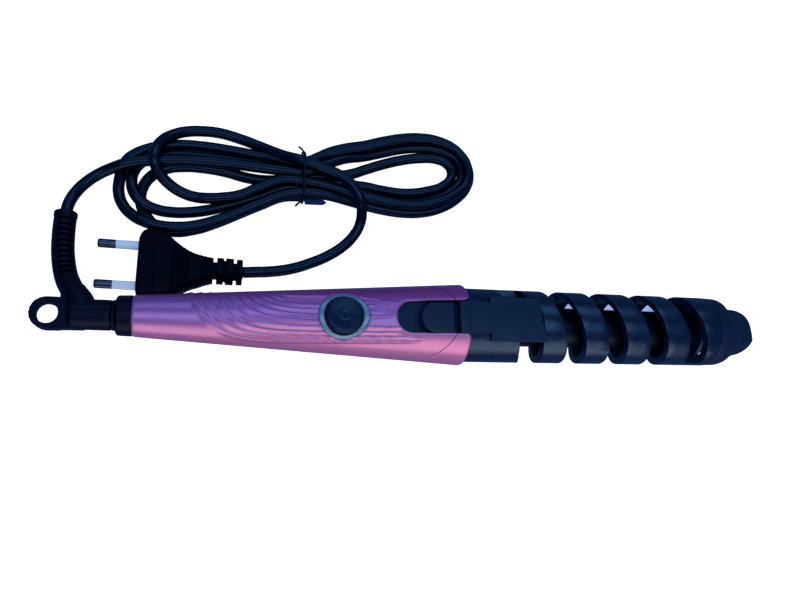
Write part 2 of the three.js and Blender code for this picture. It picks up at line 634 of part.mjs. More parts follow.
// ---- Assembly ----
add(iron, 'handle_top_shell', handleTopShell(), PINK_SHELL);
add(iron, 'handle_bottom_shell', handleBottomShell(), PINK_SHELL);
for (const [place, x] of Object.entries(SCREW_XS)) add(iron, `shell_screw_${place}`, shellScrew(x), STEEL);
add(iron, 'slot_floor', slotFloor(), MATTE_BLACK);
add(iron, 'button_ring', buttonRing(), RING_TEAL);
add(iron, 'power_button', powerButton(), GLOSS_BLACK);
const circuitBoard = block([BOARD.rear, -BOARD.half, BOARD.bottom], [BOARD.front, BOARD.half, BOARD.bottom + BOARD.thick]);
add(iron, 'circuit_board', circuitBoard, BOARD_GREEN);
add(iron, 'tact_switch', tactSwitch(), MATTE_BLACK);
add(iron, 'power_lamp', powerLamp(), LAMP_CLEAR);

add(iron, 'heated_barrel', ring(BARREL_REAR, BARREL_FRONT, BARREL_RADIUS, BARREL_RADIUS - BARREL_WALL), BARREL_COAT);
add(iron, 'barrel_bush', barrelBush(), CERAMIC);
add(iron, 'barrel_end_plug', rod(137, BARREL_FRONT, BARREL_RADIUS - BARREL_WALL - GAP), CERAMIC);
add(iron, 'heater_plate', heaterPlate(), CERAMIC);
add(iron, 'heater_clamp_upper', heaterClamp(1), ALUMINIUM);
add(iron, 'heater_clamp_lower', heaterClamp(-1), ALUMINIUM);
add(iron, 'heater_lead_live', heaterLead(5), SOFT_BLACK);
add(iron, 'heater_lead_neutral', heaterLead(-5), SOFT_BLACK);
add(iron, 'nose_bush', noseBush(), GLOSS_BLACK);
add(iron, 'nose_screw', noseScrew(), STEEL);

add(iron, 'spiral_guard', spiralGuard(), GLOSS_BLACK);
add(iron, 'guard_tongue', guardTongue(), MATTE_BLACK);
add(iron, 'thumb_pad', thumbPad(), MATTE_BLACK);
add(iron, 'return_spring', returnSpring(), STEEL);
add(iron, 'cool_tip', coolTip(), MATTE_BLACK);

add(iron, 'tail_collar', tailCollar(), SOFT_BLACK);
add(iron, 'swivel_shaft', swivelShaft(), SOFT_BLACK);
for (const [pole, x] of Object.entries(CONTACT_XS)) {
  const side = pole === 'live' ? 1 : -1;
  add(iron, `contact_ring_${pole}`, contactRing(x), BRASS);
  add(iron, `contact_brush_${pole}`, brush(x, side), BRASS);
  add(iron, `mains_lead_${pole}`, mainsLead(x, side), SOFT_BLACK);
}

add(lying, 'cord_boot', cordBoot(), SOFT_BLACK);
add(lying, 'strain_relief', strainRelief(), SOFT_BLACK);
add(lying, 'cord_lead', swept(smooth(LEAD_ROUTE), CORD_RADIUS, 5), SOFT_BLACK);
add(lying, 'cord_hank', cordHank(), SOFT_BLACK);
add(lying, 'cord_tail', swept(smooth(TAIL_ROUTE), CORD_RADIUS, 14), SOFT_BLACK);
add(lying, 'twist_tie', twistTie(), SOFT_BLACK);
add(lying, 'plug_body', plugBody(), SOFT_BLACK);
for (const [pole, side] of [['live', 1], ['neutral', -1]]) {
  add(lying, `plug_pin_${pole}`, plugPin(side), STEEL);
  add(lying, `pin_sleeve_${pole}`, pinSleeve(side), SLEEVE_WHITE);
}

export default curlingIron;
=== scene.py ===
"""Looks of a spiral curling iron with a tied mains cord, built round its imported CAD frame.

Lengths are millimetres in the frame's axes, and MM turns them into metres. The iron lies along X, its axis
AXIS above the surface, with the button facing +Z and the cord lying on its +Y side. The camera, the lights
and the grain of the materials are in metres.
"""
import math

import bmesh
import bpy
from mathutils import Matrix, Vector


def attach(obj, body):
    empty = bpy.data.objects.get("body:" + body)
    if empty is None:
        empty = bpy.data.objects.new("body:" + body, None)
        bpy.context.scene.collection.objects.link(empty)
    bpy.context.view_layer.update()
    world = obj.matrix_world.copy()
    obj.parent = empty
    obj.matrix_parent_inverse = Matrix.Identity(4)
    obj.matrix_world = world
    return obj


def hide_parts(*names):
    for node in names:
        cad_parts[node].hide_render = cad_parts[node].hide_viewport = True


MM = 0.001
AXIS = 19.0

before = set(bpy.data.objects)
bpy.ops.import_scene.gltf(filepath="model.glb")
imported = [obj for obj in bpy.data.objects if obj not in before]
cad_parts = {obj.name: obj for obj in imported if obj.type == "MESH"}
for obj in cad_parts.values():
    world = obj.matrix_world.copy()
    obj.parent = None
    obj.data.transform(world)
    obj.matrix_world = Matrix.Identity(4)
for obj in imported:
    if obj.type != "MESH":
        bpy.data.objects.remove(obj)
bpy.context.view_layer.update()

# ---- Camera ----
camera_data = bpy.data.cameras.new("view_camera")
camera_data.sensor_width = 36.0
camera_data.lens = 33.2
camera = bpy.data.objects.new("view_camera", camera_data)
camera.location = (-0.10121, -0.06795, 0.34094)
camera.rotation_euler = (0.2393, -0.2516, -0.0248)
bpy.context.scene.collection.objects.link(camera)
bpy.context.scene.camera = camera


# ---- Materials ----
def new_material(name, colour, roughness, metallic=0.0, coat=0.0, coat_roughness=0.1, specular=0.5):
    """A material with its Principled shader, for the helpers below to add nodes to."""
    look = bpy.data.materials.new(name)
    look.use_nodes = True
    shader = look.node_tree.nodes["Principled BSDF"]
    shader.inputs["Base Color"].default_value = (*colour, 1.0)
    shader.inputs["Roughness"].default_value = roughness
    shader.inputs["Metallic"].default_value = metallic
    shader.inputs["Coat Weight"].default_value = coat
    shader.inputs["Coat Roughness"].default_value = coat_roughness
    shader.inputs["Specular IOR Level"].default_value = specular
    return look


def noise(look, scale, detail=3.0, stretch=(1.0, 1.0, 1.0)):
    """Noise in the object's own space, in patches of about 1 / scale metres."""
    nodes = look.node_tree.nodes
    links = look.node_tree.links
    place = nodes.new("ShaderNodeTexCoord")
    mapping = nodes.new("ShaderNodeMapping")
    mapping.inputs["Scale"].default_value = stretch
    texture = nodes.new("ShaderNodeTexNoise")
    texture.inputs["Scale"].default_value = scale
    texture.inputs["Detail"].default_value = detail
    links.new(place.outputs["Object"], mapping.inputs["Vector"])
    links.new(mapping.outputs["Vector"], texture.inputs["Vector"])
    return texture


def ramp(look, source, stops, socket):
    """Colours by a value from 0 to 1, into one of the shader's sockets."""
    nodes = look.node_tree.nodes
    node = nodes.new("ShaderNodeValToRGB")
    elements = node.color_ramp.elements
    while len(elements) < len(stops):
        elements.new(0.5)
    for element, (position, colour) in zip(elements, stops):
        element.position = position
        element.color = (*colour, 1.0)
    look.node_tree.links.new(source, node.inputs["Fac"])
    look.node_tree.links.new(node.outputs["Color"], nodes["Principled BSDF"].inputs[socket])


NOISE_LOW = 0.3  # most of the noise lies between these
NOISE_HIGH = 0.7


def vary_colour(look, scale, low, high):
    ramp(look, noise(look, scale).outputs["Fac"], [(NOISE_LOW, low), (NOISE_HIGH, high)], "Base Color")


def vary_roughness(look, scale, low, high):
    nodes = look.node_tree.nodes
    spread = nodes.new("ShaderNodeMapRange")
    spread.inputs["From Min"].default_value = NOISE_LOW
    spread.inputs["From Max"].default_value = NOISE_HIGH
    spread.inputs["To Min"].default_value = low
    spread.inputs["To Max"].default_value = high
    look.node_tree.links.new(noise(look, scale).outputs["Fac"], spread.inputs["Value"])
    look.node_tree.links.new(spread.outputs["Result"], nodes["Principled BSDF"].inputs["Roughness"])


def add_bump(look, scale, height, stretch=(1.0, 1.0, 1.0)):
    """Fine relief, height metres deep."""
    nodes = look.node_tree.nodes
    bump = nodes.new("ShaderNodeBump")
    bump.inputs["Strength"].default_value = 1.0
    bump.inputs["Distance"].default_value = height
    look.node_tree.links.new(noise(look, scale, 4.0, stretch).outputs["Fac"], bump.inputs["Height"])
    look.node_tree.links.new(bump.outputs["Normal"], nodes["Principled BSDF"].inputs["Normal"])


WHITE_SHEEN = (1.0, 1.0, 1.0)
NAVY_SHEEN = (0.30, 0.60, 1.0)
DARK_SHEEN = (0.35, 0.50, 1.0)
CLOUD_SCALE = 90.0
GLOSS_SCALE = 240.0
GLOSS_SPREAD = 0.05


def plastic(name, low, high, roughness, grain, depth, coat=0.0, metallic=0.0,
            sheen=WHITE_SHEEN, specular=0.5):
    """Moulded plastic: cloudy colour, uneven gloss, fine grain. Reflections take the sheen's colour."""
    look = new_material(name, high, roughness, metallic, coat, specular=specular)
    look.node_tree.nodes["Principled BSDF"].inputs["Specular Tint"].default_value = (*sheen, 1.0)
    vary_colour(look, CLOUD_SCALE, low, high)
    vary_roughness(look, GLOSS_SCALE, roughness - GLOSS_SPREAD, roughness + GLOSS_SPREAD)
    add_bump(look, grain, depth)
    return look


def glow(look, colour, strength):
    shader = look.node_tree.nodes["Principled BSDF"]
    shader.inputs["Emission Color"].default_value = (*colour, 1.0)
    shader.inputs["Emission Strength"].default_value = strength


PAINTED_LIGHT_HALF = 19.0  # the painted light's colours are spread over this half breadth


def lacquer_with_painted_light():
    """Metallic lacquer that turns from purple on one side through lilac to pink on the other. The turn is
    painted light: cool light on the +Y side and along the top, warm light on the -Y side.
    """
    look = new_material("pink_lacquer_painted_light", (0.5, 0.25, 0.6), 0.38, 0.4, 0.4, 0.14)
    nodes = look.node_tree.nodes
    links = look.node_tree.links
    place = nodes.new("ShaderNodeTexCoord")
    split = nodes.new("ShaderNodeSeparateXYZ")
    spread = nodes.new("ShaderNodeMapRange")
    spread.inputs["From Min"].default_value = PAINTED_LIGHT_HALF * MM
    spread.inputs["From Max"].default_value = -PAINTED_LIGHT_HALF * MM
    links.new(place.outputs["Object"], split.inputs["Vector"])
    links.new(split.outputs["Y"], spread.inputs["Value"])
    # Painted light: the colour turns across the breadth where the cool and the warm lights fall.
    ramp(look, spread.outputs["Result"], [
        (0.0, (0.56, 0.11, 0.44)),
        (0.2, (0.48, 0.085, 0.36)),
        (0.42, (0.44, 0.17, 0.54)),
        (0.58, (0.50, 0.21, 0.56)),
        (0.75, (0.66, 0.24, 0.46)),
        (1.0, (0.74, 0.27, 0.52)),
    ], "Base Color")
    vary_roughness(look, 120.0, 0.34, 0.40)
    return look


LACQUER = lacquer_with_painted_light()
SEAM = plastic("seam_shadow", (0.10, 0.01, 0.10), (0.14, 0.02, 0.14), 0.5, 900.0, 0.00002)
GLOSS_BLACK = plastic("gloss_black", (0.002, 0.006, 0.022), (0.003, 0.009, 0.030), 0.30, 700.0, 0.000006,
                      sheen=NAVY_SHEEN, specular=0.9)
MATTE_BLACK = plastic("matte_black", (0.004, 0.010, 0.030), (0.005, 0.013, 0.038), 0.48, 2400.0, 0.00002,
                      sheen=NAVY_SHEEN, specular=0.6)
BUTTON_BLACK = plastic("button_black", (0.002, 0.007, 0.026), (0.003, 0.009, 0.032), 0.3, 1800.0, 0.000006,
                       sheen=NAVY_SHEEN, specular=0.6)
RUBBER = plastic("cord_rubber", (0.0012, 0.0014, 0.005), (0.0018, 0.002, 0.007), 0.42, 1500.0, 0.00001,
                 sheen=DARK_SHEEN, specular=0.25)
PLUG_BLACK = plastic("plug_black", (0.0006, 0.0007, 0.002), (0.0009, 0.001, 0.003), 0.45, 1500.0, 0.00001,
                     sheen=DARK_SHEEN, specular=0.12)
CORD_SKIN = plastic("cord_skin", (0.0006, 0.0014, 0.005), (0.0009, 0.002, 0.0065), 0.27, 1200.0, 0.000002,
                    sheen=NAVY_SHEEN, specular=0.5)
WIRE_BLACK = plastic("tie_black", (0.002, 0.003, 0.011), (0.003, 0.005, 0.016), 0.4, 1500.0, 0.00002,
                     sheen=NAVY_SHEEN)
TIE_BLUE = plastic("tie_blue", (0.004, 0.016, 0.10), (0.006, 0.022, 0.13), 0.35, 1500.0, 0.00002,
                   sheen=NAVY_SHEEN)
TEAL = plastic("ring_teal", (0.17, 0.33, 0.42), (0.20, 0.38, 0.47), 0.32, 1500.0, 0.000006, 0.3, 0.3)
COATING = plastic("barrel_coating", (0.002, 0.002, 0.004), (0.003, 0.003, 0.006), 0.4, 2000.0, 0.00001,
                  sheen=NAVY_SHEEN, specular=0.25)
SLEEVE = plastic("pin_sleeve_blue", (0.66, 0.80, 0.92), (0.74, 0.86, 0.95), 0.45, 1200.0, 0.00001)
# The sleeves glow a little: painted light that keeps the pale plastic bright.
glow(SLEEVE, (0.55, 0.75, 1.0), 0.25)
CERAMIC = plastic("heater_ceramic", (0.60, 0.57, 0.50), (0.68, 0.64, 0.57), 0.8, 1500.0, 0.00004)
BOARD = plastic("board_green", (0.02, 0.13, 0.06), (0.03, 0.17, 0.08), 0.4, 900.0, 0.00002)
LENS = plastic("lamp_lens", (0.62, 0.74, 0.80), (0.70, 0.80, 0.85), 0.12, 900.0, 0.00001)


def metal(name, low, high, roughness, stretch):
    """Drawn or turned metal, with its marks long along one axis."""
    look = new_material(name, high, roughness, 1.0)
    vary_colour(look, 300.0, low, high)
    vary_roughness(look, 700.0, roughness - 0.06, roughness + 0.08)
    add_bump(look, 1600.0, 0.00001, stretch)
    return look


PIN_STEEL = metal("pin_steel", (0.06, 0.07, 0.12), (0.10, 0.11, 0.17), 0.25, (0.05, 1.0, 1.0))
STEEL = metal("bright_steel", (0.50, 0.50, 0.52), (0.62, 0.62, 0.64), 0.22, (0.05, 1.0, 1.0))
BRASS = metal("contact_brass", (0.55, 0.40, 0.18), (0.66, 0.49, 0.24), 0.3, (1.0, 0.05, 0.05))
ALUMINIUM = metal("heater_aluminium", (0.62, 0.62, 0.63), (0.72, 0.72, 0.73), 0.35, (0.05, 1.0, 1.0))

INNER_LOOKS = (
    (BOARD, "circuit_board"),
    (LENS, "power_lamp"),
    (CERAMIC, "heater_plate", "barrel_end_plug"),
    (ALUMINIUM, "heater_clamp_upper", "heater_clamp_lower"),
    (RUBBER, "heater_lead_live", "heater_lead_neutral", "mains_lead_live", "mains_lead_neutral",
     "swivel_shaft"),
    (BRASS, "contact_ring_live", "contact_ring_neutral", "contact_brush_live", "contact_brush_neutral"),
    (STEEL, "shell_screw_rear", "shell_screw_front"),
    (MATTE_BLACK, "tact_switch", "barrel_bush", "slot_floor", "return_spring"),
)
for look, *inner_nodes in INNER_LOOKS:
    for node in inner_nodes:
        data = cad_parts[node].data
        data.materials.clear()
        data.materials.append(look)


# ---- Mesh helpers ----
def piece(name, vertices, faces, look, body, sharp=35.0):
    """A mesh piece from millimetre vertices, riding on a CAD body, smooth below the sharp angle."""
    mesh = bpy.data.meshes.new(name)
    mesh.from_pydata([Vector(v) * MM for v in vertices], [], faces)
    shape = bmesh.new()
    shape.from_mesh(mesh)
    bmesh.ops.remove_doubles(shape, verts=shape.verts, dist=1e-7)
    bmesh.ops.recalc_face_normals(shape, faces=shape.faces)
    shape.to_mesh(mesh)
    shape.free()
    made = bpy.data.objects.new(name, mesh)
    bpy.context.scene.collection.objects.link(made)
    mesh.materials.append(look)
    shade(made, sharp)
    if body:
        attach(made, body)
    return made


def shade(made, sharp):
    """Smooth shading, but for edges sharper than the angle in degrees."""
    made.data.shade_smooth()
    made.data.set_sharp_from_angle(angle=math.radians(sharp))


def tube(rings, joined=False):
    """Vertices and faces through rings of equal length. Its ends are capped, or joined to each other."""
    count = len(rings[0])
    vertices = [v for ring in rings for v in ring]
    faces = []
    last = len(rings) if joined else len(rings) - 1
    for i in range(last):
        a = i * count
        b = (i + 1) % len(rings) * count
        for j in range(count):
            k = (j + 1) % count
            faces.append((a + j, a + k, b + k, b + j))
    if not joined:
        faces.append(tuple(reversed(range(count))))
        faces.append(tuple(range((len(rings) - 1) * count, len(rings) * count)))
    return vertices, faces


def rounded(points, radius, closed=False, steps=4):
    """A polyline with its corners rounded. A point may carry its own radius as a third number."""
    result = []
    count = len(points)
    for i, point in enumerate(points):
        r = point[2] if len(point) > 2 else radius
        here = Vector(point[:2])
        if not closed and i in (0, count - 1) or r <= 0:
            result.append(tuple(here))
            continue
        before = Vector(points[i - 1][:2]) - here
        after = Vector(points[(i + 1) % count][:2]) - here
        reach = min(r, before.length * 0.49, after.length * 0.49)
        start = here + before.normalized() * reach
        end = here + after.normalized() * reach
        for s in range(steps + 1):
            t = s / steps
            result.append(tuple(start * (1 - t) ** 2 + here * 2 * t * (1 - t) + end * t ** 2))
    return result


def turned(profile, segments=96, joined=False, height=AXIS):
    """A shape turned from (x, radius) points about a line along X, by default the iron's axis."""
    rings = []
    for x, r in profile:
        r = max(r, 0.01)
        angles = [2 * math.pi * k / segments for k in range(segments)]
        rings.append([(x, r * math.cos(a), height + r * math.sin(a)) for a in angles])
    return tube(rings, joined)


def circle(x, radius, count, oval=1.0):
    """Points round a circle about (x, 0), its Y breadth scaled by oval."""
    angles = [2 * math.pi * k / count for k in range(count)]
    return [(x + radius * math.cos(a), oval * radius * math.sin(a)) for a in angles]


def half_circle(x, radius, steps):
    """Points from the +Y side of a circle about (x, 0) round its -X side to its -Y side."""
    angles = [math.pi / 2 + math.pi * k / steps for k in range(steps + 1)]
    return [(x + radius * math.cos(a), radius * math.sin(a)) for a in angles]


def squared(angle, squareness):
    """A point of a circle of radius 1 drawn out to its corners. A squareness of 2 leaves it round."""
    power = 2 / squareness
    c, s = math.cos(angle), math.sin(angle)
    return math.copysign(abs(c) ** power, c), math.copysign(abs(s) ** power, s)


def inset(outline, distance):
    """A closed outline, running anticlockwise, moved inwards."""
    result = []
    count = len(outline)
    for i in range(count):
        a = Vector(outline[i - 1])
        b = Vector(outline[i])
        c = Vector(outline[(i + 1) % count])
        first = (b - a).normalized()
        second = (c - b).normalized()
        normal = Vector((-(first.y + second.y), first.x + second.x)) / 2
        length = max(normal.length, 0.5)
        result.append(tuple(b + normal / length ** 2 * distance))
    return result


def slab(outline, low, high, edge, top=None, steps=4):
    """An outline raised from low to high with its edges rounded. top(x, y) lowers the upper face."""
    rings = []
    for z, sign in ((low, -1), (high, 1)):
        levels = [math.pi / 2 * k / steps for k in range(steps + 1)]
        for a in (levels if sign > 0 else reversed(levels)):
            flat = inset(outline, edge * (1 - math.cos(a)))
            level = z - sign * edge * (1 - math.sin(a))
            rings.append([(x, y, level - (top(x, y) if top and sign > 0 else 0)) for x, y in flat])
    return tube(rings)


def apply_modifiers(made):
    """The evaluated mesh takes the place of the base mesh, so that no modifier is left."""
    graph = bpy.context.evaluated_depsgraph_get()
    result = bpy.data.meshes.new_from_object(made.evaluated_get(graph))
    made.modifiers.clear()
    made.data = result


def cut_away(made, *tools):
    """Takes the tools' volumes out of a piece, and the tools out of the scene."""
    for tool in tools:
        cut = made.modifiers.new("cut", "BOOLEAN")
        cut.operation = "DIFFERENCE"
        cut.solver = "EXACT"
        cut.object = tool
        apply_modifiers(made)
        bpy.data.objects.remove(tool)


def fuse(made, voxel, smooth):
    """Overlapping shells become one skin, with the corners between them filled."""
    skin = made.modifiers.new("skin", "REMESH")
    skin.mode = "VOXEL"
    skin.voxel_size = voxel * MM
    softer = made.modifiers.new("soften", "SMOOTH")
    softer.factor = 0.5
    softer.iterations = smooth
    apply_modifiers(made)
    made.data.shade_smooth()


def merged(*parts):
    """Several vertex and face lists as one."""
    vertices = []
    faces = []
    for more, ring_faces in parts:
        base = len(vertices)
        vertices.extend(more)
        faces.extend(tuple(i + base for i in face) for face in ring_faces)
    return vertices, faces


def spline(points, per_span=8):
    """Points of a smooth curve through the given points."""
    result = []
    p = [Vector(q) for q in points]
    p = [p[0] * 2 - p[1], *p, p[-1] * 2 - p[-2]]
    for i in range(1, len(p) - 2):
        for s in range(per_span):
            t = s / per_span
            a = p[i] * 2
            b = p[i + 1] - p[i - 1]
            c = p[i - 1] * 2 - p[i] * 5 + p[i + 1] * 4 - p[i + 2]
            d = p[i] * 3 - p[i - 1] - p[i + 1] * 3 + p[i + 2]
            result.append((a + b * t + c * t ** 2 + d * t ** 3) / 2)
    result.append(p[-2])
    return result


def swept(path, radius, sides=24, shape=None):
    """A tube along path. radius(share of the length) is its size, and shape(share, angle) scales it."""
    lengths = [0.0]
    for a, b in zip(path, path[1:]):
        lengths.append(lengths[-1] + (b - a).length)
    rings = []
    up = Vector((0, 0, 1))
    for i, at in enumerate(path):
        ahead = (path[min(i + 1, len(path) - 1)] - path[max(i - 1, 0)]).normalized()
        side = ahead.cross(up).normalized()
        over = side.cross(ahead).normalized()
        share = lengths[i] / lengths[-1]
        ring = []
        for k in range(sides):
            angle = 2 * math.pi * k / sides
            r = radius(share) * (shape(share, angle) if shape else 1)
            ring.append(tuple(at + side * (r * math.cos(angle)) + over * (r * math.sin(angle))))
        rings.append(ring)
    return tube(rings)


# ---- Cord: one length from the strain relief through four tied turns to the plug ----
CORD_RADIUS = 2.6
CORD_EXIT = (-164.8, 48.3, 5.6)

LEAD = [
    (-164.8, 48.9, 5.6), (-164.1, 53.5, 4.9), (-161.8, 59.2, 3.9), (-158.0, 64.4, 3.4), (-153.0, 68.6, 3.8),
    (-147.4, 71.2, 5.6), (-142.0, 72.8, 7.9), (-136.5, 74.4, 8.0), (-130.0, 75.8, 7.5), (-120.0, 77.0, 7.2),
    (-108.0, 77.6, 7.1), (-94.0, 77.4, 7.1), (-80.0, 76.5, 7.2), (-70.0, 76.0, 7.5), (-60.0, 76.0, 7.7),
]
# Each turn goes round the right lobe and then round the left one, both clockwise from above.
TURN_1 = [
    (-50, 80.6, 7.0), (-40, 85.6, 5.0), (-29, 88.7, 3.2), (-19, 91.9, 2.8), (-9, 94.8, 2.7),
    (0.6, 96.2, 2.6), (9.5, 96.0, 2.6), (15.9, 94.0, 2.8), (20.6, 89.8, 3.2), (22.3, 84.5, 3.4),
    (21.2, 78.6, 3.2), (16.0, 73.2, 2.8), (6.5, 68.2, 2.6), (-3, 65.8, 2.6), (-13, 65.4, 2.6),
    (-24, 66.6, 2.6), (-34, 68.0, 2.6), (-45, 67.6, 2.6), (-53, 66.2, 2.6), (-60, 65.4, 2.6),
    (-70, 64.2, 2.6), (-80, 59.4, 2.6), (-90, 54.3, 2.6), (-100, 49.2, 2.6), (-110, 45.2, 2.6),
    (-120, 43.7, 2.6), (-127, 46.0, 2.6), (-131.8, 51.0, 2.6), (-134.2, 57.5, 2.6), (-133.6, 64.2, 2.6),
    (-129.8, 70.4, 2.6), (-123.5, 74.4, 2.6), (-115.5, 76.0, 2.6), (-107, 76.1, 2.6), (-97, 75.0, 2.6),
    (-86, 72.6, 2.6), (-76, 72.2, 2.6), (-67, 73.8, 2.6), (-60, 75.2, 2.6),
]
TURN_2 = [
    (-50, 76.4, 2.6), (-42, 77.4, 2.6), (-34.5, 79.3, 2.6), (-29.5, 81.4, 2.6), (-19.4, 85.4, 2.6),
    (-9.4, 88.6, 2.6), (0.7, 90.6, 2.6), (8.6, 90.9, 2.6), (14.0, 89.2, 2.6), (17.0, 85.4, 2.6),
    (16.6, 80.8, 2.6), (12.2, 76.2, 2.6), (3.2, 72.6, 2.6), (-8.3, 70.6, 2.6), (-19.4, 71.2, 2.6),
    (-29.5, 72.6, 2.6), (-40, 72.6, 2.6), (-50, 71.5, 2.6), (-60, 70.3, 2.6), (-70, 68.5, 2.6),
    (-80, 63.9, 2.6), (-90, 59.9, 2.6), (-97, 57.4, 2.6), (-105, 54.9, 2.6), (-113, 53.4, 2.6),
    (-120, 52.9, 2.8), (-127, 53.2, 4.4), (-132.8, 55.2, 6.6), (-136.7, 59.4, 7.4), (-138.2, 65.0, 6.6),
    (-138.0, 70.4, 4.2), (-136.0, 75.2, 2.7), (-131.5, 79.0, 2.6), (-124.5, 80.9, 2.6), (-117, 81.4, 2.6),
    (-108, 81.4, 2.6), (-95, 80.8, 2.6), (-80, 79.8, 2.6), (-70, 79.8, 2.6), (-60, 80.6, 2.6),
]
TURN_3 = [
    (-54.5, 84.6, 2.6), (-48.5, 88.6, 2.6), (-38.8, 92.4, 2.6), (-28.7, 94.9, 2.6), (-18.6, 98.2, 2.6),
    (-8.9, 100.7, 2.6), (0.6, 101.9, 2.6), (10.0, 101.2, 2.6), (16.4, 98.8, 2.6), (22.2, 94.0, 2.6),
    (25.6, 88.5, 2.6), (26.6, 82.8, 2.6), (24.8, 76.3, 2.6), (19.2, 69.7, 2.6), (9.8, 63.8, 2.6),
    (0.4, 61.0, 2.6), (-9.4, 60.2, 2.6), (-19.4, 61.0, 2.6), (-27.8, 62.4, 2.7), (-38, 64.2, 4.0),
    (-48, 65.2, 6.4), (-60, 65.4, 7.7), (-70, 63.2, 7.7), (-80, 58.4, 7.7), (-90, 53.2, 7.8),
    (-100, 48.6, 7.8), (-110, 45.2, 7.8), (-118, 44.1, 7.8), (-124.8, 44.3, 7.8), (-130.8, 45.7, 7.5),
    (-136.9, 49.2, 6.0), (-141.5, 54.4, 4.2), (-143.9, 60.8, 2.8), (-143.9, 67.6, 2.6), (-143.0, 73.0, 2.6),
    (-141.2, 77.2, 2.6), (-137.6, 80.6, 2.6), (-133.0, 83.2, 2.6), (-127.5, 85.2, 2.6), (-118, 86.8, 2.6),
    (-108, 87.0, 2.6), (-95, 86.0, 2.8), (-80, 83.6, 4.4), (-70, 81.8, 6.6), (-60, 81.0, 7.7),
]
TURN_4 = [
    (-50, 85.6, 7.4), (-39, 89.4, 7.1), (-29, 91.9, 7.0), (-19, 95.1, 7.0), (-9, 97.8, 7.0),
    (0.6, 99.1, 7.0), (9.6, 98.5, 7.0), (15.9, 96.3, 7.0), (21.2, 91.8, 7.0), (24.0, 86.6, 7.1),
    (24.4, 80.8, 7.1), (22.2, 75.2, 7.0), (17.0, 70.6, 7.0), (8.0, 66.0, 7.0), (-1.5, 63.5, 7.0),
    (-11, 63.0, 7.0), (-22, 64.2, 7.1), (-33, 66.4, 7.1), (-44, 69.0, 7.3), (-52, 70.4, 7.5),
    (-60, 71.1, 7.7), (-70, 71.0, 7.6), (-80, 66.9, 7.4), (-90, 61.8, 7.2), (-97, 60.2, 7.0),
    (-104, 59.7, 6.2), (-110, 60.3, 5.0), (-115, 61.6, 5.0), (-121.3, 64.6, 6.8), (-126.3, 69.2, 9.8),
    (-128.4, 73.9, 12.3), (-128.2, 79.0, 11.8), (-125.9, 85.2, 9.0), (-121.0, 90.3, 6.0), (-115, 93.4, 4.0),
    (-108, 94.8, 2.9), (-100, 94.7, 2.7), (-90, 92.2, 3.2), (-80, 88.0, 5.2), (-70, 83.0, 9.0),
    (-61, 79.7, 12.3),
]
TAIL = [
    (-51.2, 76.6, 12.4), (-42.4, 73.2, 12.4), (-36.2, 68.0, 12.2), (-33.0, 62.6, 10.8), (-31.6, 57.4, 7.6),
    (-32.2, 51.6, 4.6), (-35.0, 46.4, 3.1), (-40.0, 41.0, 2.7), (-47.0, 36.0, 2.7), (-55.5, 31.8, 2.7),
    (-65.0, 28.3, 3.0), (-75.0, 26.0, 4.6), (-82.0, 25.0, 6.2), (-87.2, 24.4, 6.85),
]


def cord_curve(name, points, radius, look, ring=6):
    """A curve through millimetre points with a round section."""
    data = bpy.data.curves.new(name, "CURVE")
    data.dimensions = "3D"
    data.resolution_u = 8
    data.bevel_depth = radius * MM
    data.bevel_resolution = ring
    data.use_fill_caps = True
    line = data.splines.new("BEZIER")
    line.bezier_points.add(len(points) - 1)
    for knot, point in zip(line.bezier_points, points):
        knot.co = Vector(point) * MM
        knot.handle_left_type = "AUTO"
        knot.handle_right_type = "AUTO"
    made = bpy.data.objects.new(name, data)
    bpy.context.scene.collection.objects.link(made)
    data.materials.append(look)
    return made


ROUTE = [*LEAD, *TURN_1, *TURN_2, *TURN_3, *TURN_4, *TAIL]
mains_cord = cord_curve("mains_cord", ROUTE, CORD_RADIUS, CORD_SKIN)
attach(mains_cord, "cord_side")
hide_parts("cord_lead", "cord_hank", "cord_tail")

# ---- Plug ----
PLUG = {"face": -133.3, "y": 25.4, "z": 6.85, "turn": 0.026}


def at_plug(vertices):
    """Vertices about the plug's own axis, u along it from the pins' side, moved to where the plug lies."""
    c = math.cos(-PLUG["turn"])
    s = math.sin(-PLUG["turn"])
    return [(PLUG["face"] + c * u - s * v, PLUG["y"] + s * u + c * v, PLUG["z"] + w)
            for u, v, w in vertices]


def between(table, u):
    """A value read from a list of (position, value) by straight lines."""
    for (u0, v0), (u1, v1) in zip(table, table[1:]):
        if u <= u1:
            return v0 + (v1 - v0) * max(0.0, (u - u0) / (u1 - u0))
    return table[-1][1]


HALF_BREADTH = [
    (0, 12.6), (0.5, 14.2), (1.4, 15.6), (2.8, 16.5), (5, 16.9), (8, 16.6), (10.5, 15.7), (13.3, 13.8),
    (15.5, 12.0), (18.3, 9.9), (21, 8.3), (23.3, 7.2), (26, 6.5), (28.3, 6.2), (32.4, 5.8),
]
HALF_HEIGHT = [(0, 5.9), (0.5, 6.5), (1.4, 6.75), (24, 6.75), (28, 6.3), (32.4, 5.8)]
SQUARENESS = [(0, 5.0), (14, 4.6), (24, 3.2), (32.4, 2.4)]
# The side towards the handle bulges by this much more.
NEAR_SWELL = [(0, 0.0), (9, 0.0), (14, 1.2), (20, 2.0), (26, 1.7), (29, 0.9), (32.4, 0.2)]
# Grooves across the grip: where, how deep.
GROOVES = [(14.9 + 1.35 * k, 0.35) for k in range(6)] + [(28.2, 0.45), (29.8, 0.45), (31.4, 0.45)]
GROOVE_WIDTH = 0.33
SIDE_GROOVE = 0.4  # the share of their depth that is left at the sides
RIDGE_AT = 7.6
RIDGE_STEP = 0.5
PIN_APART = 9.3  # each pin from the plug's middle
PLUG_STATIONS = [k * 0.18 for k in range(181)]


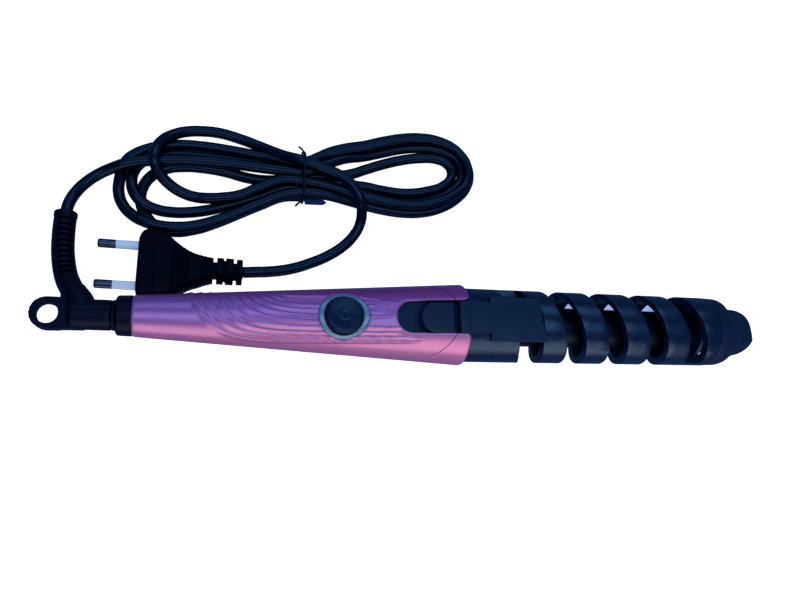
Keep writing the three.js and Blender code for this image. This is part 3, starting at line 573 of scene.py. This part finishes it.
def plug_ring(u, sides=72):
    """The plug's section at u."""
    groove = sum(depth * math.exp(-((u - at) / GROOVE_WIDTH) ** 2) for at, depth in GROOVES)
    breadth = between(HALF_BREADTH, u) - groove * SIDE_GROOVE
    height = between(HALF_HEIGHT, u) - groove
    if u < RIDGE_AT:
        height -= RIDGE_STEP * min(1.0, (RIDGE_AT - u) / 0.5)
    ring = []
    for k in range(sides):
        across, up = squared(2 * math.pi * k / sides, between(SQUARENESS, u))
        reach = breadth + (between(NEAR_SWELL, u) if across < 0 else 0.0)
        ring.append((u, across * reach, up * height))
    return ring


vertices, faces = tube([plug_ring(u) for u in PLUG_STATIONS])
plug_shell = piece("plug_shell", at_plug(vertices), faces, PLUG_BLACK, "cord_side", 50)
collar_line = rounded([
    (32.0, 0.1), (32.0, 4.0), (34.0, 4.0), (34.0, 6.1), (37.0, 6.1), (37.0, 4.9), (37.9, 4.9), (37.9, 6.1),
    (41.4, 6.1), (41.4, 4.0), (42.8, 4.0), (42.8, 5.9), (45.4, 5.9), (45.4, 2.9), (45.9, 2.8), (45.9, 0.1),
], 0.35)
vertices, faces = turned(collar_line, 64, height=0.0)
plug_collars = piece("plug_collars", at_plug(vertices), faces, PLUG_BLACK, "cord_side")
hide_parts("plug_body")

plug_parts = [plug_shell, plug_collars]
pin_line = rounded([
    (-17.6, 0.1), (-17.6, 2.0, 0.9), (-10.0, 2.0), (-10.0, 1.3), (-0.3, 1.3), (-0.3, 0.1),
], 0.15)
sleeve_line = rounded([(-9.9, 1.5), (-9.9, 1.95), (-0.2, 2.1), (-0.2, 1.5)], 0.12, closed=True)
for pole, side in (("live", 1), ("neutral", -1)):
    y = side * PIN_APART
    vertices, faces = turned(pin_line, 32, height=0.0)
    vertices = at_plug([(u, v + y, w) for u, v, w in vertices])
    pin = piece(f"pin_{pole}", vertices, faces, PIN_STEEL, "cord_side")
    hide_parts(f"plug_pin_{pole}")
    vertices, faces = turned(sleeve_line, 32, True, height=0.0)
    vertices = at_plug([(u, v + y, w) for u, v, w in vertices])
    sleeve = piece(f"sleeve_{pole}", vertices, faces, SLEEVE, "cord_side")
    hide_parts(f"pin_sleeve_{pole}")
    plug_parts += [pin, sleeve]

# ---- Strain relief: a curved rubber tube, slotted across its upper side, with a flange at its end ----
RELIEF_SPAN = 30  # steps from one point of the path to the next
RELIEF_PATH = spline([
    (-152.5, 1, 18.6), (-154.3, 5.5, 18), (-157.3, 10, 16.4), (-161.4, 18, 12.6), (-164, 28.8, 9),
    (-164.9, 39.4, 6.6), CORD_EXIT,
], RELIEF_SPAN)
SLOTS = 11
SLOTS_FROM = 0.34  # shares of the relief's length
SLOTS_TO = 0.95
SLOTS_LENGTH = 0.61
SLOT_DEPTH = 0.30  # shares of its radius
NOTCH_DEPTH = 0.10
RELIEF_RADIUS = 4.85
RELIEF_TAPER = 0.15
END_FLANGE_FROM = 0.965
END_FLANGE_RADIUS = 4.9


def relief_shape(share, angle):
    """The radius's share: slots across the upper side, small notches along the outer edge."""
    if not SLOTS_FROM < share < SLOTS_TO:
        return 1.0
    place = (share - SLOTS_FROM) / SLOTS_LENGTH * SLOTS % 1
    slot = SLOT_DEPTH if 0.3 < place < 0.72 and 0.55 < angle < 2.0 else 0.0
    notch = NOTCH_DEPTH if 0.4 < place < 0.62 and 2.7 < angle < 3.7 else 0.0
    return 1.0 - slot - notch


def relief_radius(share):
    if share > END_FLANGE_FROM:
        return END_FLANGE_RADIUS
    return RELIEF_RADIUS - RELIEF_TAPER * share


relief = piece("relief_tube", *swept(RELIEF_PATH, relief_radius, 64, relief_shape), RUBBER, "cord_side", 30)
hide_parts("strain_relief")

# ---- Cord boot: swivel neck, hanging loop and elbow as one moulding ----
LOOP_X = -166.1
LOOP_RADIUS = 6.5
LOOP_HALF = 2.75
neck_line = rounded([(-158, 0.1), (-158, 5.4), (-156.4, 6.4), (-141.3, 6.5), (-141.3, 0.1)], 0.4)
loop_outline = [(-152, -6.2), (-152, 6.2), *half_circle(LOOP_X, LOOP_RADIUS, 40)]
elbow_path = RELIEF_PATH[:2 * RELIEF_SPAN + 2]
boot = piece("boot_moulding", *merged(
    turned(neck_line, 64),
    slab(list(reversed(loop_outline)), AXIS - LOOP_HALF, AXIS + LOOP_HALF, 0.5),
    swept(elbow_path, lambda share: 6.0 - 0.6 * share, 48),
), RUBBER, "cord_side")
fuse(boot, 0.35, 3)
hole = turned([(-3.4, 4.9), (-2.4, 4.35), (2.4, 4.35), (3.4, 4.9)], 64, height=0.0)
hole_vertices = [(LOOP_X + y, z, AXIS + x) for x, y, z in hole[0]]
cut_away(boot, piece("loop_hole_tool", hole_vertices, hole[1], RUBBER, None))
shade(boot, 40)
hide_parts("cord_boot")

# ---- Twist tie round the waist of the hank ----
tie_loop = [
    (-62.6, 87.9, 9.5), (-61.7, 86.2, 11.2), (-61.0, 84.0, 13.2), (-60.7, 80.0, 15.3), (-60.4, 76.0, 14.4),
    (-60.3, 71.5, 11.0), (-60.2, 66.0, 10.6), (-60.1, 62.6, 8.6), (-60.2, 61.6, 5.0), (-60.4, 62.4, 1.6),
    (-60.8, 65.4, 1.0), (-60.8, 74.0, 0.8), (-60.8, 81.4, 1.0), (-60.9, 84.4, 3.2), (-61.0, 84.9, 7.6),
    (-60.6, 84.3, 12.2), (-60.1, 80.0, 15.8), (-59.9, 75.6, 14.9), (-59.8, 71.0, 11.5), (-59.9, 66.0, 11.1),
    (-60.3, 62.4, 9.6), (-62.0, 60.2, 8.0), (-64.0, 58.2, 7.2),
]
tie = cord_curve("tie_wire", tie_loop, 0.5, WIRE_BLACK, 3)
flap_outline = rounded([
    (-59.5, 59.7), (-50.6, 59.9), (-48.6, 61.2), (-50.0, 62.4), (-59.5, 62.6),
], 0.9, closed=True)
tie_flap = piece("tie_tail", *slab(flap_outline, 6.2, 6.9, 0.2), TIE_BLUE, "cord_side")
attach(tie, "cord_side")
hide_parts("twist_tie")

# ---- Handle ----
TAIL_X = -132.9
MOUTH_X = 12.3
TAIL_RADIUS = 8.85
MOUTH_RADIUS = 19.0
SLOT_REAR = -21.9
SLOT_HALF = 7.2
SLOT_LIP = 3.0  # the radius of the slot's corners at the mouth
SLOT_FLARE = 1.3
FLARE_FROM = -5.0
BUTTON_X = -45.3
RING_RADIUS = 11.1
RING_OVAL = 0.91
BUTTON_RADIUS = 8.2
BUTTON_GAP = 0.05  # between the ring and the hole it sits in
WALL = 2.0
MOUTH_BORE = 17.6
MOUTH_BORE_FROM = 1.3
SCREW_HOLES = (-98.0, -26.5)
SCREW_HOLE_RADIUS = 2.6
MOUTH_ROUND = 1.6  # radii of the shell's rims
TAIL_ROUND = 0.8
SLOT_ROUND = 0.9
BUTTON_ROUND = 0.5
THINNEST = 0.4


def handle_radius(x):
    """The plain taper's radius."""
    return TAIL_RADIUS + (MOUTH_RADIUS - TAIL_RADIUS) * (x - TAIL_X) / (MOUTH_X - TAIL_X)


# The relief is a family of curves. Each starts at the +Y edge at its own x, drops across the handle, and
# bends to run along it.
FIRST_CURVE = -112.4
LAST_CURVE = -72.0
CURVE_STEP = 4.1
EDGE_Y = 10.0
RIDGE_HEIGHT = 0.6
RISE_SHARE = 0.72  # of a step, the rest is the fall


def curve_y(start, x):
    """How far across the handle the curve that starts at start has come at x."""
    bend = -100.3
    slope = 0.415 if start < bend else 0.565
    drop = 16.9 - slope * (start - bend)
    reach = min(7.8, 0.75 * drop + 0.8)
    return EDGE_Y - drop * (1 - math.exp(-max(0.0, x - start) / reach))


def curve_through(x, y):
    """The start of the curve that passes through a point, found by halving."""
    low = FIRST_CURVE - 40
    high = min(x, LAST_CURVE)
    for _ in range(22):
        middle = (low + high) / 2
        if curve_y(middle, x) < y:
            low = middle
        else:
            high = middle
    return (low + high) / 2


def step(value, low, high):
    """From 0 at low to 1 at high, with no kink."""
    t = min(1.0, max(0.0, (value - low) / (high - low)))
    return t * t * (3 - 2 * t)


def relief_height(x, y):
    """Height of the embossed lines over the plain taper."""
    if not FIRST_CURVE - 2 < x < -4:
        return 0.0
    start = curve_through(x, y)
    phase = (start - FIRST_CURVE) / CURVE_STEP
    place = phase % 1.0
    height = RIDGE_HEIGHT * (place / RISE_SHARE if place < RISE_SHARE else (1 - place) / (1 - RISE_SHARE))
    fade = step(start, FIRST_CURVE - 0.4, FIRST_CURVE + 1.2)
    end = -25 + 6 * math.sin(phase * 2.4) if y > -5 else -12 + 5 * math.sin(phase * 1.7)
    fade *= 1 - step(x, end - 9, end)
    fade *= step(y, -14.5, -11.5) * (1 - step(y, 9.6, 10.8))
    return height * fade


def slot_flare(x):
    """How much further out the slot's +Y side lies at x than the other side."""
    return SLOT_FLARE * min(1.0, max(0.0, (x - FLARE_FROM) / (MOUTH_X - FLARE_FROM)))


def slot_distance(x, y):
    """How far a point is outside the slot, in plan. Negative inside."""
    centre = SLOT_REAR + SLOT_HALF
    if y > 0:
        y = max(0.0, y - slot_flare(x))
    if x < centre:
        return math.hypot(x - centre, y) - SLOT_HALF
    corner = MOUTH_X - SLOT_LIP
    if x > corner and abs(y) < SLOT_HALF + SLOT_LIP:
        return SLOT_LIP - math.hypot(x - corner, abs(y) - SLOT_HALF - SLOT_LIP)
    return abs(y) - SLOT_HALF


def round_over(distance, radius):
    """How far a surface has sunk at a distance from its edge, for a round edge of that radius."""
    if distance >= radius:
        return 0.0
    inward = radius - max(0.0, distance)
    return radius - math.sqrt(max(0.0, radius ** 2 - inward ** 2))


def shell_grid(name, first, last, columns, rows, upper):
    """Half of the handle as a closed wall, with its relief and its rounded rims."""
    outer = []
    inner = []
    for i in range(columns + 1):
        x = TAIL_X + (MOUTH_X - TAIL_X) * i / columns
        out_row = []
        in_row = []
        for j in range(rows + 1):
            a = math.radians(first + (last - first) * j / rows)
            base = handle_radius(x)
            y = base * math.cos(a)
            r = base - round_over(MOUTH_X - x, MOUTH_ROUND)
            r -= 0.6 * round_over((x - TAIL_X) / TAIL_ROUND, TAIL_ROUND)
            if upper:
                r += relief_height(x, y)
                r -= round_over(slot_distance(x, y), SLOT_ROUND)
                from_button = math.hypot(x - BUTTON_X, y / RING_OVAL) - RING_RADIUS - BUTTON_GAP
                r -= round_over(from_button, BUTTON_ROUND)
            out_row.append((x, r * math.cos(a), AXIS + r * math.sin(a)))
            r_in = MOUTH_BORE if x > MOUTH_BORE_FROM else base - WALL
            r_in = min(r_in, r - THINNEST)
            in_row.append((x, r_in * math.cos(a), AXIS + r_in * math.sin(a)))
        outer.append(out_row)
        inner.append(in_row)
    rings = [o + list(reversed(n)) for o, n in zip(outer, inner)]
    return piece(name, *tube(rings), LACQUER, "handle", 40)


def prism(name, outline, low, high):
    """A cutting tool of upright walls."""
    rings = [[(x, y, z) for x, y in outline] for z in (low, high)]
    return piece(name, *tube(rings), LACQUER, None)


def slot_outline():
    """The slot in plan, from one side of the mouth round its closed end to the other side."""
    lip = SLOT_LIP
    centre = SLOT_REAR + SLOT_HALF
    corner = MOUTH_X - lip
    points = [(MOUTH_X + 2, -SLOT_HALF - lip)]
    points += [(corner + lip * math.sin(a), -SLOT_HALF - lip + lip * math.cos(a))
               for a in (math.pi / 2 * (1 - k / 10) for k in range(11))]
    points += [(centre + SLOT_HALF * math.cos(a), SLOT_HALF * math.sin(a))
               for a in (-math.pi / 2 - math.pi * k / 40 for k in range(41))]
    points += [(corner + lip * math.sin(a), SLOT_HALF + lip - lip * math.cos(a))
               for a in (math.pi / 2 * k / 10 for k in range(11))]
    points.append((MOUTH_X + 2, SLOT_HALF + lip))
    return [(x, y + slot_flare(x) if y > 0 else y) for x, y in points]


top_skin = shell_grid("handle_top_skin", 0.15, 179.85, 250, 150, True)
TOOL_LOW = AXIS + 1
TOOL_HIGH = AXIS + 25
slot_tool = prism("slot_tool", slot_outline(), TOOL_LOW, TOOL_HIGH)
button_outline = circle(BUTTON_X, RING_RADIUS + BUTTON_GAP, 96, RING_OVAL)
button_tool = prism("button_tool", button_outline, TOOL_LOW, TOOL_HIGH)
cut_away(top_skin, slot_tool, button_tool)
shade(top_skin, 40)
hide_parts("handle_top_shell")
bottom_skin = shell_grid("handle_bottom_skin", 180.15, 359.85, 120, 72, False)
for x in SCREW_HOLES:
    screw_outline = circle(x, SCREW_HOLE_RADIUS, 32)
    cut_away(bottom_skin, prism("screw_tool", screw_outline, -1.0, AXIS - handle_radius(x) + 3.0))
shade(bottom_skin, 40)
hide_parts("handle_bottom_shell")


def on_handle(x, y, above=0.0):
    """A point on the handle's taper at a plan position."""
    r = handle_radius(x) + above
    return Vector((x, y, AXIS + math.sqrt(max(0.0, r * r - y * y))))


# Parting lines run from the slot's sides back and down to the handle's flanks. They are thin tubes in the
# dark seam_shadow colour, painted shade of the seams.
SEAM_RADIUS = 0.18
SEAM_X = 5.1
for side, name in ((1, "left"), (-1, "right")):
    start = SLOT_HALF + 0.2 + (slot_flare(SEAM_X) if side > 0 else 0.0)
    points = [
        (SEAM_X, start), (4.0, 9.3), (2.6, 11.2), (1.0, 12.8), (-0.6, 14.1), (-2.3, 15.1), (-4.2, 15.8),
    ]
    path = spline([on_handle(x, side * y, -0.03) for x, y in points])
    line = piece(f"parting_line_{name}", *swept(path, lambda share: SEAM_RADIUS, 8), SEAM, "handle")

# ---- Button and its ring ----
# Share of the way from the ring's inner edge to its outer one, height above the handle.
RING_LINE = rounded([
    (0.0, -3.0), (0.0, -0.1, 0.2), (0.18, 0.4, 0.15), (0.8, 0.4, 0.15), (1.0, 0.1, 0.1), (1.0, -3.0),
], 0.1, steps=5)
rings = []
for k in range(128):
    a = 2 * math.pi * k / 128
    ring = []
    for share, h in RING_LINE:
        inner = BUTTON_RADIUS + 0.3
        along = inner + (RING_RADIUS - inner) * share
        across = inner + (RING_RADIUS * RING_OVAL - inner) * share
        ring.append(tuple(on_handle(BUTTON_X + along * math.cos(a), across * math.sin(a), h)))
    rings.append(ring)
ring_piece = piece("button_surround", *tube(rings, True), TEAL, "handle", 50)
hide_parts("button_ring")

BUTTON_TOP = AXIS + handle_radius(BUTTON_X) + 1.9
button_line = rounded([
    (0.02, -6.0), (BUTTON_RADIUS, -6.0), (BUTTON_RADIUS, -1.5, 0.5), (7.7, -0.55, 0.7), (6.9, -0.25, 0.5),
    (2.6, -0.6, 1.0), (2.0, -0.45, 0.4), (1.2, -0.6, 0.4), (0.02, -0.55),
], 0.4, steps=5)
rings = [[(x, y, BUTTON_TOP + z) for x, y in circle(BUTTON_X, r, 96)] for r, z in button_line]
button = piece("button_cap", *tube(rings), BUTTON_BLACK, "button", 45)
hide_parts("power_button")

# ---- Barrel, nose bush and screw ----
barrel_line = rounded([(-15, 8.5), (-15, 9.5), (140.5, 9.5), (140.5, 8.5)], 0.3, closed=True)
barrel = piece("barrel_tube", *turned(barrel_line, 96, True), COATING, "handle")
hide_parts("heated_barrel")
bush_line = rounded([(133.5, 9.8), (133.5, 13.9), (140, 13.9), (140, 9.8)], 0.4, closed=True)
nose = piece("nose_collar", *turned(bush_line, 96, True), GLOSS_BLACK, "handle")
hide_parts("nose_bush")
NOSE_SCREW_X = 136.7
# Distance from the screw's own axis, distance from the iron's.
screw_line = rounded([
    (0.02, 9.9), (1.6, 9.9), (1.6, 13.95, 0.3), (0.9, 14.1), (0.5, 13.8), (0.02, 13.75),
], 0.1)
lean = math.radians(65)
rings = []
for r, h in screw_line:
    ring = []
    for k in range(32):
        a = 2 * math.pi * k / 32
        across = r * math.sin(a)
        ring.append((NOSE_SCREW_X + r * math.cos(a), across * math.cos(lean) - h * math.sin(lean),
                     AXIS + across * math.sin(lean) + h * math.cos(lean)))
    rings.append(ring)
screw = piece("nose_screw_head", *tube(rings), STEEL, "handle")
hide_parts("nose_screw")

# ---- Spiral guard ----
GUARD_RADIUS = 17.3
GUARD_BORE = 14.2
GUARD_REAR = 10.5
GUARD_FRONT = 142.5
PITCH = 21.86
CHANNEL_X = 34.35
CHANNEL_HALF = 5.0
LAST_TURN = 4
CHANNEL_LEAN = PITCH / 4 / (GUARD_RADIUS + 0.5)
END_LEDGE = 3.3
END_Y = 16.9  # the channel's two ends stop at this distance from the middle
REACH = GUARD_RADIUS + 2
FAR_SIDE = REACH + 4
EDGE_ROUNDING = 0.45


def channel_cut(name, middle, lean, y_range, z_range, extra=0.0):
    """One of the channel's askew cuts. Its walls are upright."""
    y0, y1 = y_range
    corners = [(middle + lean * y + dx, y) for y, dx in (
        (y0, -CHANNEL_HALF - extra), (y0, CHANNEL_HALF), (y1, CHANNEL_HALF), (y1, -CHANNEL_HALF - extra))]
    outline = rounded(corners, 1.6, closed=True, steps=5)
    rings = [[(x, y, AXIS + z) for x, y in outline] for z in z_range]
    return piece(name, *tube(rings), GLOSS_BLACK, None)


def channel_tools():
    """The channel's cuts: for each turn one over the barrel, one at its sides and one under it."""
    tools = []
    for turn in range(LAST_TURN + 1):
        above = CHANNEL_X + PITCH * (turn + 0.25)
        extra = 2.0 if turn == 0 else 0.0
        first = -END_Y if turn == LAST_TURN else -FAR_SIDE
        last = END_Y if turn == 0 else FAR_SIDE
        tools.append(channel_cut(f"cut_over_{turn}", above, -CHANNEL_LEAN,
                                 (first, last), (END_LEDGE, REACH), extra))
        low = 0.0 if turn == LAST_TURN else first
        high = 0.0 if turn == 0 else last
        tools.append(channel_cut(f"cut_side_{turn}", above, -CHANNEL_LEAN,
                                 (low, high), (-0.3, END_LEDGE + 0.3), extra))
        if turn < LAST_TURN:
            tools.append(channel_cut(f"cut_under_{turn}", above + PITCH / 2, CHANNEL_LEAN,
                                     (-FAR_SIDE, FAR_SIDE), (-REACH, 0.3)))
    return tools


NECK_RIGHT = -7.0
NECK_LEFT = 7.6
NECK_FRONT = 21.3
TONGUE_HALF = 10.2
TONGUE_BOTTOM = AXIS + 14.3
TONGUE_TOP = AXIS + 17.65
TONGUE = [
    (6.9, NECK_RIGHT), (NECK_FRONT, NECK_RIGHT, 0.0), (NECK_FRONT, -TONGUE_HALF, 2.0), (48.5, -TONGUE_HALF),
    (46.0, TONGUE_HALF), (NECK_FRONT, TONGUE_HALF, 2.0), (NECK_FRONT, NECK_LEFT, 0.0), (6.9, NECK_LEFT),
]

guard_line = rounded([
    (GUARD_REAR, 10.0), (GUARD_REAR, GUARD_RADIUS, 0.6), (GUARD_FRONT, GUARD_RADIUS, 0.5),
    (GUARD_FRONT, GUARD_BORE), (13.0, GUARD_BORE), (13.0, 10.0),
], 0.3, closed=True)
long_line = []
for (x0, r0), (x1, r1) in zip(guard_line, guard_line[1:] + guard_line[:1]):
    cuts = max(1, round(abs(x1 - x0) / 6.0))
    long_line += [(x0 + (x1 - x0) * k / cuts, r0 + (r1 - r0) * k / cuts) for k in range(cuts)]
guard = piece("guard_spiral", *turned(long_line, 128, True), GLOSS_BLACK, "guard")
tongue_outline = rounded(TONGUE, 0.6, closed=True)
tongue_tool = prism("tongue_tool", inset(tongue_outline, -0.08), TONGUE_BOTTOM - 0.2, TONGUE_TOP + 3)
cut_away(guard, *channel_tools(), tongue_tool)
edges = guard.modifiers.new("edges", "BEVEL")
edges.width = EDGE_ROUNDING * MM
edges.segments = 3
edges.limit_method = "ANGLE"
edges.angle_limit = math.radians(50)
edges.use_clamp_overlap = True
apply_modifiers(guard)
shade(guard, 35)
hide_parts("spiral_guard")


def crown(x, y):
    """The tongue's upper face falls away to its sides."""
    return y * y / 95


root_outline = rounded([
    (6.7, NECK_RIGHT), (11.8, NECK_RIGHT), (11.8, NECK_LEFT), (6.7, NECK_LEFT),
], 0.5, closed=True)
tongue = piece("tongue_plate", *merged(
    slab(tongue_outline, TONGUE_BOTTOM, TONGUE_TOP, 0.3, crown),
    slab(root_outline, AXIS + 12.4, TONGUE_TOP + 0.45, 0.4, crown),
), MATTE_BLACK, "guard")
PAD_X = -4.3  # the middle of the pad's round end
PAD_HALF = 6.9
bridge_outline = [(PAD_X, -PAD_HALF), (7.0, -PAD_HALF), (7.0, PAD_HALF), (PAD_X, PAD_HALF)]
bridge = piece("tongue_bridge", *slab(bridge_outline, AXIS + 12.3, AXIS + 13.2, 0.2), MATTE_BLACK, "guard")
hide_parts("guard_tongue")
pad_outline = [(4.6, -PAD_HALF), (4.6, PAD_HALF), *half_circle(PAD_X, PAD_HALF, 36)]
vertices, faces = slab(pad_outline, AXIS + 13.5, AXIS + 17.2, 0.9, crown, 6)
pad = piece("thumb_slide", vertices, faces, MATTE_BLACK, "guard")
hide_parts("thumb_pad")

# ---- Cool tip: a shoulder that flattens from round to a winged knob ----
# x, half breadth, half height, squareness (2 is an ellipse).
TIP_SECTIONS = [
    (142.8, 16.8, 16.8, 2.0), (143.0, 17.1, 17.1, 2.0), (145.0, 17.1, 17.0, 2.0), (147.0, 17.05, 16.7, 2.0),
    (148.6, 16.95, 16.0, 2.0), (150.2, 16.6, 14.8, 2.0), (152.3, 15.8, 12.4, 2.1), (154.8, 14.2, 9.2, 2.4),
    (157.0, 12.7, 6.8, 2.8), (158.6, 11.6, 5.4, 3.0),
]


def tip_ring(x, breadth, height, squareness, sides=112):
    points = [squared(2 * math.pi * k / sides, squareness) for k in range(sides)]
    return [(x, across * breadth, AXIS + up * height) for across, up in points]


def tip_rings(finer=5):
    """The sections with smooth ones between them."""
    rings = []
    sections = [Vector(q) for q in TIP_SECTIONS]
    padded = [sections[0], *sections, sections[-1]]
    for i in range(1, len(padded) - 2):
        for k in range(finer):
            t = k / finer
            a, b, c, d = padded[i - 1:i + 3]
            rings.append(tip_ring(*((b * 2 + (c - a) * t + (a * 2 - b * 5 + c * 4 - d) * t ** 2
                                     + (b * 3 - a - c * 3 + d) * t ** 3) / 2)))
    rings.append(tip_ring(*TIP_SECTIONS[-1]))
    return rings


KNOB_REAR = 151.0
knob_outline = rounded([
    (KNOB_REAR, -12.6), (157.5, -12.5, 2.0), (161.6, -11.7, 2.0), (165.2, -10.2, 2.0), (168.4, -8.3, 2.0),
    (170.8, -6.2, 1.2), (172.3, -4.2, 1.0), (172.2, 1.2, 2.0), (171.6, 5.4, 2.0), (169.8, 8.5, 2.0),
    (166.8, 10.6, 2.0), (162.8, 11.8, 2.0), (KNOB_REAR, 12.0),
], 0.5, closed=True, steps=5)
# Height above the middle, share of the rim's length, share of its breadth.
KNOB_LEVELS = [
    (1.4, 1.0, 1.0), (1.9, 0.992, 0.985), (5.2, 0.845, 0.73), (5.7, 0.825, 0.69), (5.95, 0.80, 0.655),
    (6.0, 0.77, 0.61),
]
knob_levels = [(-z, length, breadth) for z, length, breadth in reversed(KNOB_LEVELS)] + KNOB_LEVELS
rings = [[(KNOB_REAR + (x - KNOB_REAR) * length, y * breadth, AXIS + z) for x, y in knob_outline]
         for z, length, breadth in knob_levels]
knob = piece("cool_tip_knob", *tube(rings), MATTE_BLACK, "guard", 24)
shoulder = piece("cool_tip_shoulder", *tube(tip_rings()), MATTE_BLACK, "guard", 40)
bush_room = turned([(142.0, 0.1), (142.0, 14.5), (149.1, 14.5), (149.1, 0.1)], 96)
cut_away(shoulder, piece("bush_room", *bush_room, MATTE_BLACK, None))
shade(shoulder, 40)
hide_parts("cool_tip")

# ---- Tail collar ----
collar_profile = rounded([
    (-141.0, 3.9), (-141.0, 6.5), (-139.9, 6.5), (-139.0, 8.5, 0.8), (-133.1, 8.75), (-133.1, 6.5),
    (-129.5, 6.5), (-129.5, 3.9),
], 0.3, closed=True)
collar = piece("tail_ferrule", *turned(collar_profile, 96, True), RUBBER, "handle", 40)
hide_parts("tail_collar")

# ---- Floor and lights ----
# The floor and the walls glow as a lit white sweep does, and throw no light back on the iron. Right below
# the guard the floor lies in a blue shade. These are its four sides: where it begins, where it is full.
SHADE_SIDES = (("X", 0.0, 8.0), ("X", 150.0, 140.0), ("Y", -7.0, -4.0), ("Y", 18.8, 17.0))
floor_look = plastic("white_floor", (0.9, 0.9, 0.9), (0.93, 0.93, 0.93), 0.8, 30.0, 0.00002)
glow(floor_look, (1.0, 1.0, 1.0), 1.0)
nodes = floor_look.node_tree.nodes
links = floor_look.node_tree.links
place = nodes.new("ShaderNodeTexCoord")
split = nodes.new("ShaderNodeSeparateXYZ")
links.new(place.outputs["Object"], split.inputs["Vector"])
mask = None
for axis, begins, full in SHADE_SIDES:
    side = nodes.new("ShaderNodeMapRange")
    side.interpolation_type = "SMOOTHSTEP"
    side.inputs["From Min"].default_value = begins * MM
    side.inputs["From Max"].default_value = full * MM
    links.new(split.outputs[axis], side.inputs["Value"])
    if mask is None:
        mask = side.outputs["Result"]
        continue
    both = nodes.new("ShaderNodeMath")
    both.operation = "MULTIPLY"
    links.new(mask, both.inputs[0])
    links.new(side.outputs["Result"], both.inputs[1])
    mask = both.outputs["Value"]
ramp(floor_look, mask, [(0.0, (1.0, 1.0, 1.0)), (1.0, (0.20, 0.26, 0.50))], "Emission Color")
ROOM_HALF = 3000.0
FLOOR_Z = -0.1
corners = [
    (-ROOM_HALF, -ROOM_HALF), (ROOM_HALF, -ROOM_HALF), (ROOM_HALF, ROOM_HALF), (-ROOM_HALF, ROOM_HALF),
]
vertices, faces = tube([[(x, y, z) for x, y in corners] for z in (FLOOR_Z, ROOM_HALF)])
floor = piece("floor", vertices, faces, floor_look, None)
floor.visible_diffuse = False
floor.visible_glossy = False
floor.visible_shadow = False


def area_light(name, place, size, power, colour):
    """A lit panel that faces the middle of the iron."""
    data = bpy.data.lights.new(name, "AREA")
    data.shape = "RECTANGLE"
    data.size = size[0]
    data.size_y = size[1]
    data.energy = power
    data.color = colour
    lamp = bpy.data.objects.new(name, data)
    lamp.location = place
    lamp.rotation_euler = (Vector(MIDDLE) - Vector(place)).to_track_quat("-Z", "Y").to_euler()
    bpy.context.scene.collection.objects.link(lamp)


MIDDLE = (0.0, 0.02, 0.02)
area_light("key_cool", (0.1, 0.75, 0.75), (1.2, 0.5), 2.2, (0.45, 0.65, 1.0))
area_light("over_soft", (0.0, -0.16, 1.3), (1.6, 0.65), 4.9, (0.62, 0.74, 1.0))
area_light("fill_warm", (0.05, -0.85, 0.20), (1.2, 0.7), 4.8, (1.0, 0.80, 0.72))

world = bpy.data.worlds.new("studio")
world.use_nodes = True
world.node_tree.nodes["Background"].inputs["Color"].default_value = (0.16, 0.38, 1.0, 1.0)
world.node_tree.nodes["Background"].inputs["Strength"].default_value = 0.22
bpy.context.scene.world = world
bpy.context.scene.view_settings.view_transform = "Standard"
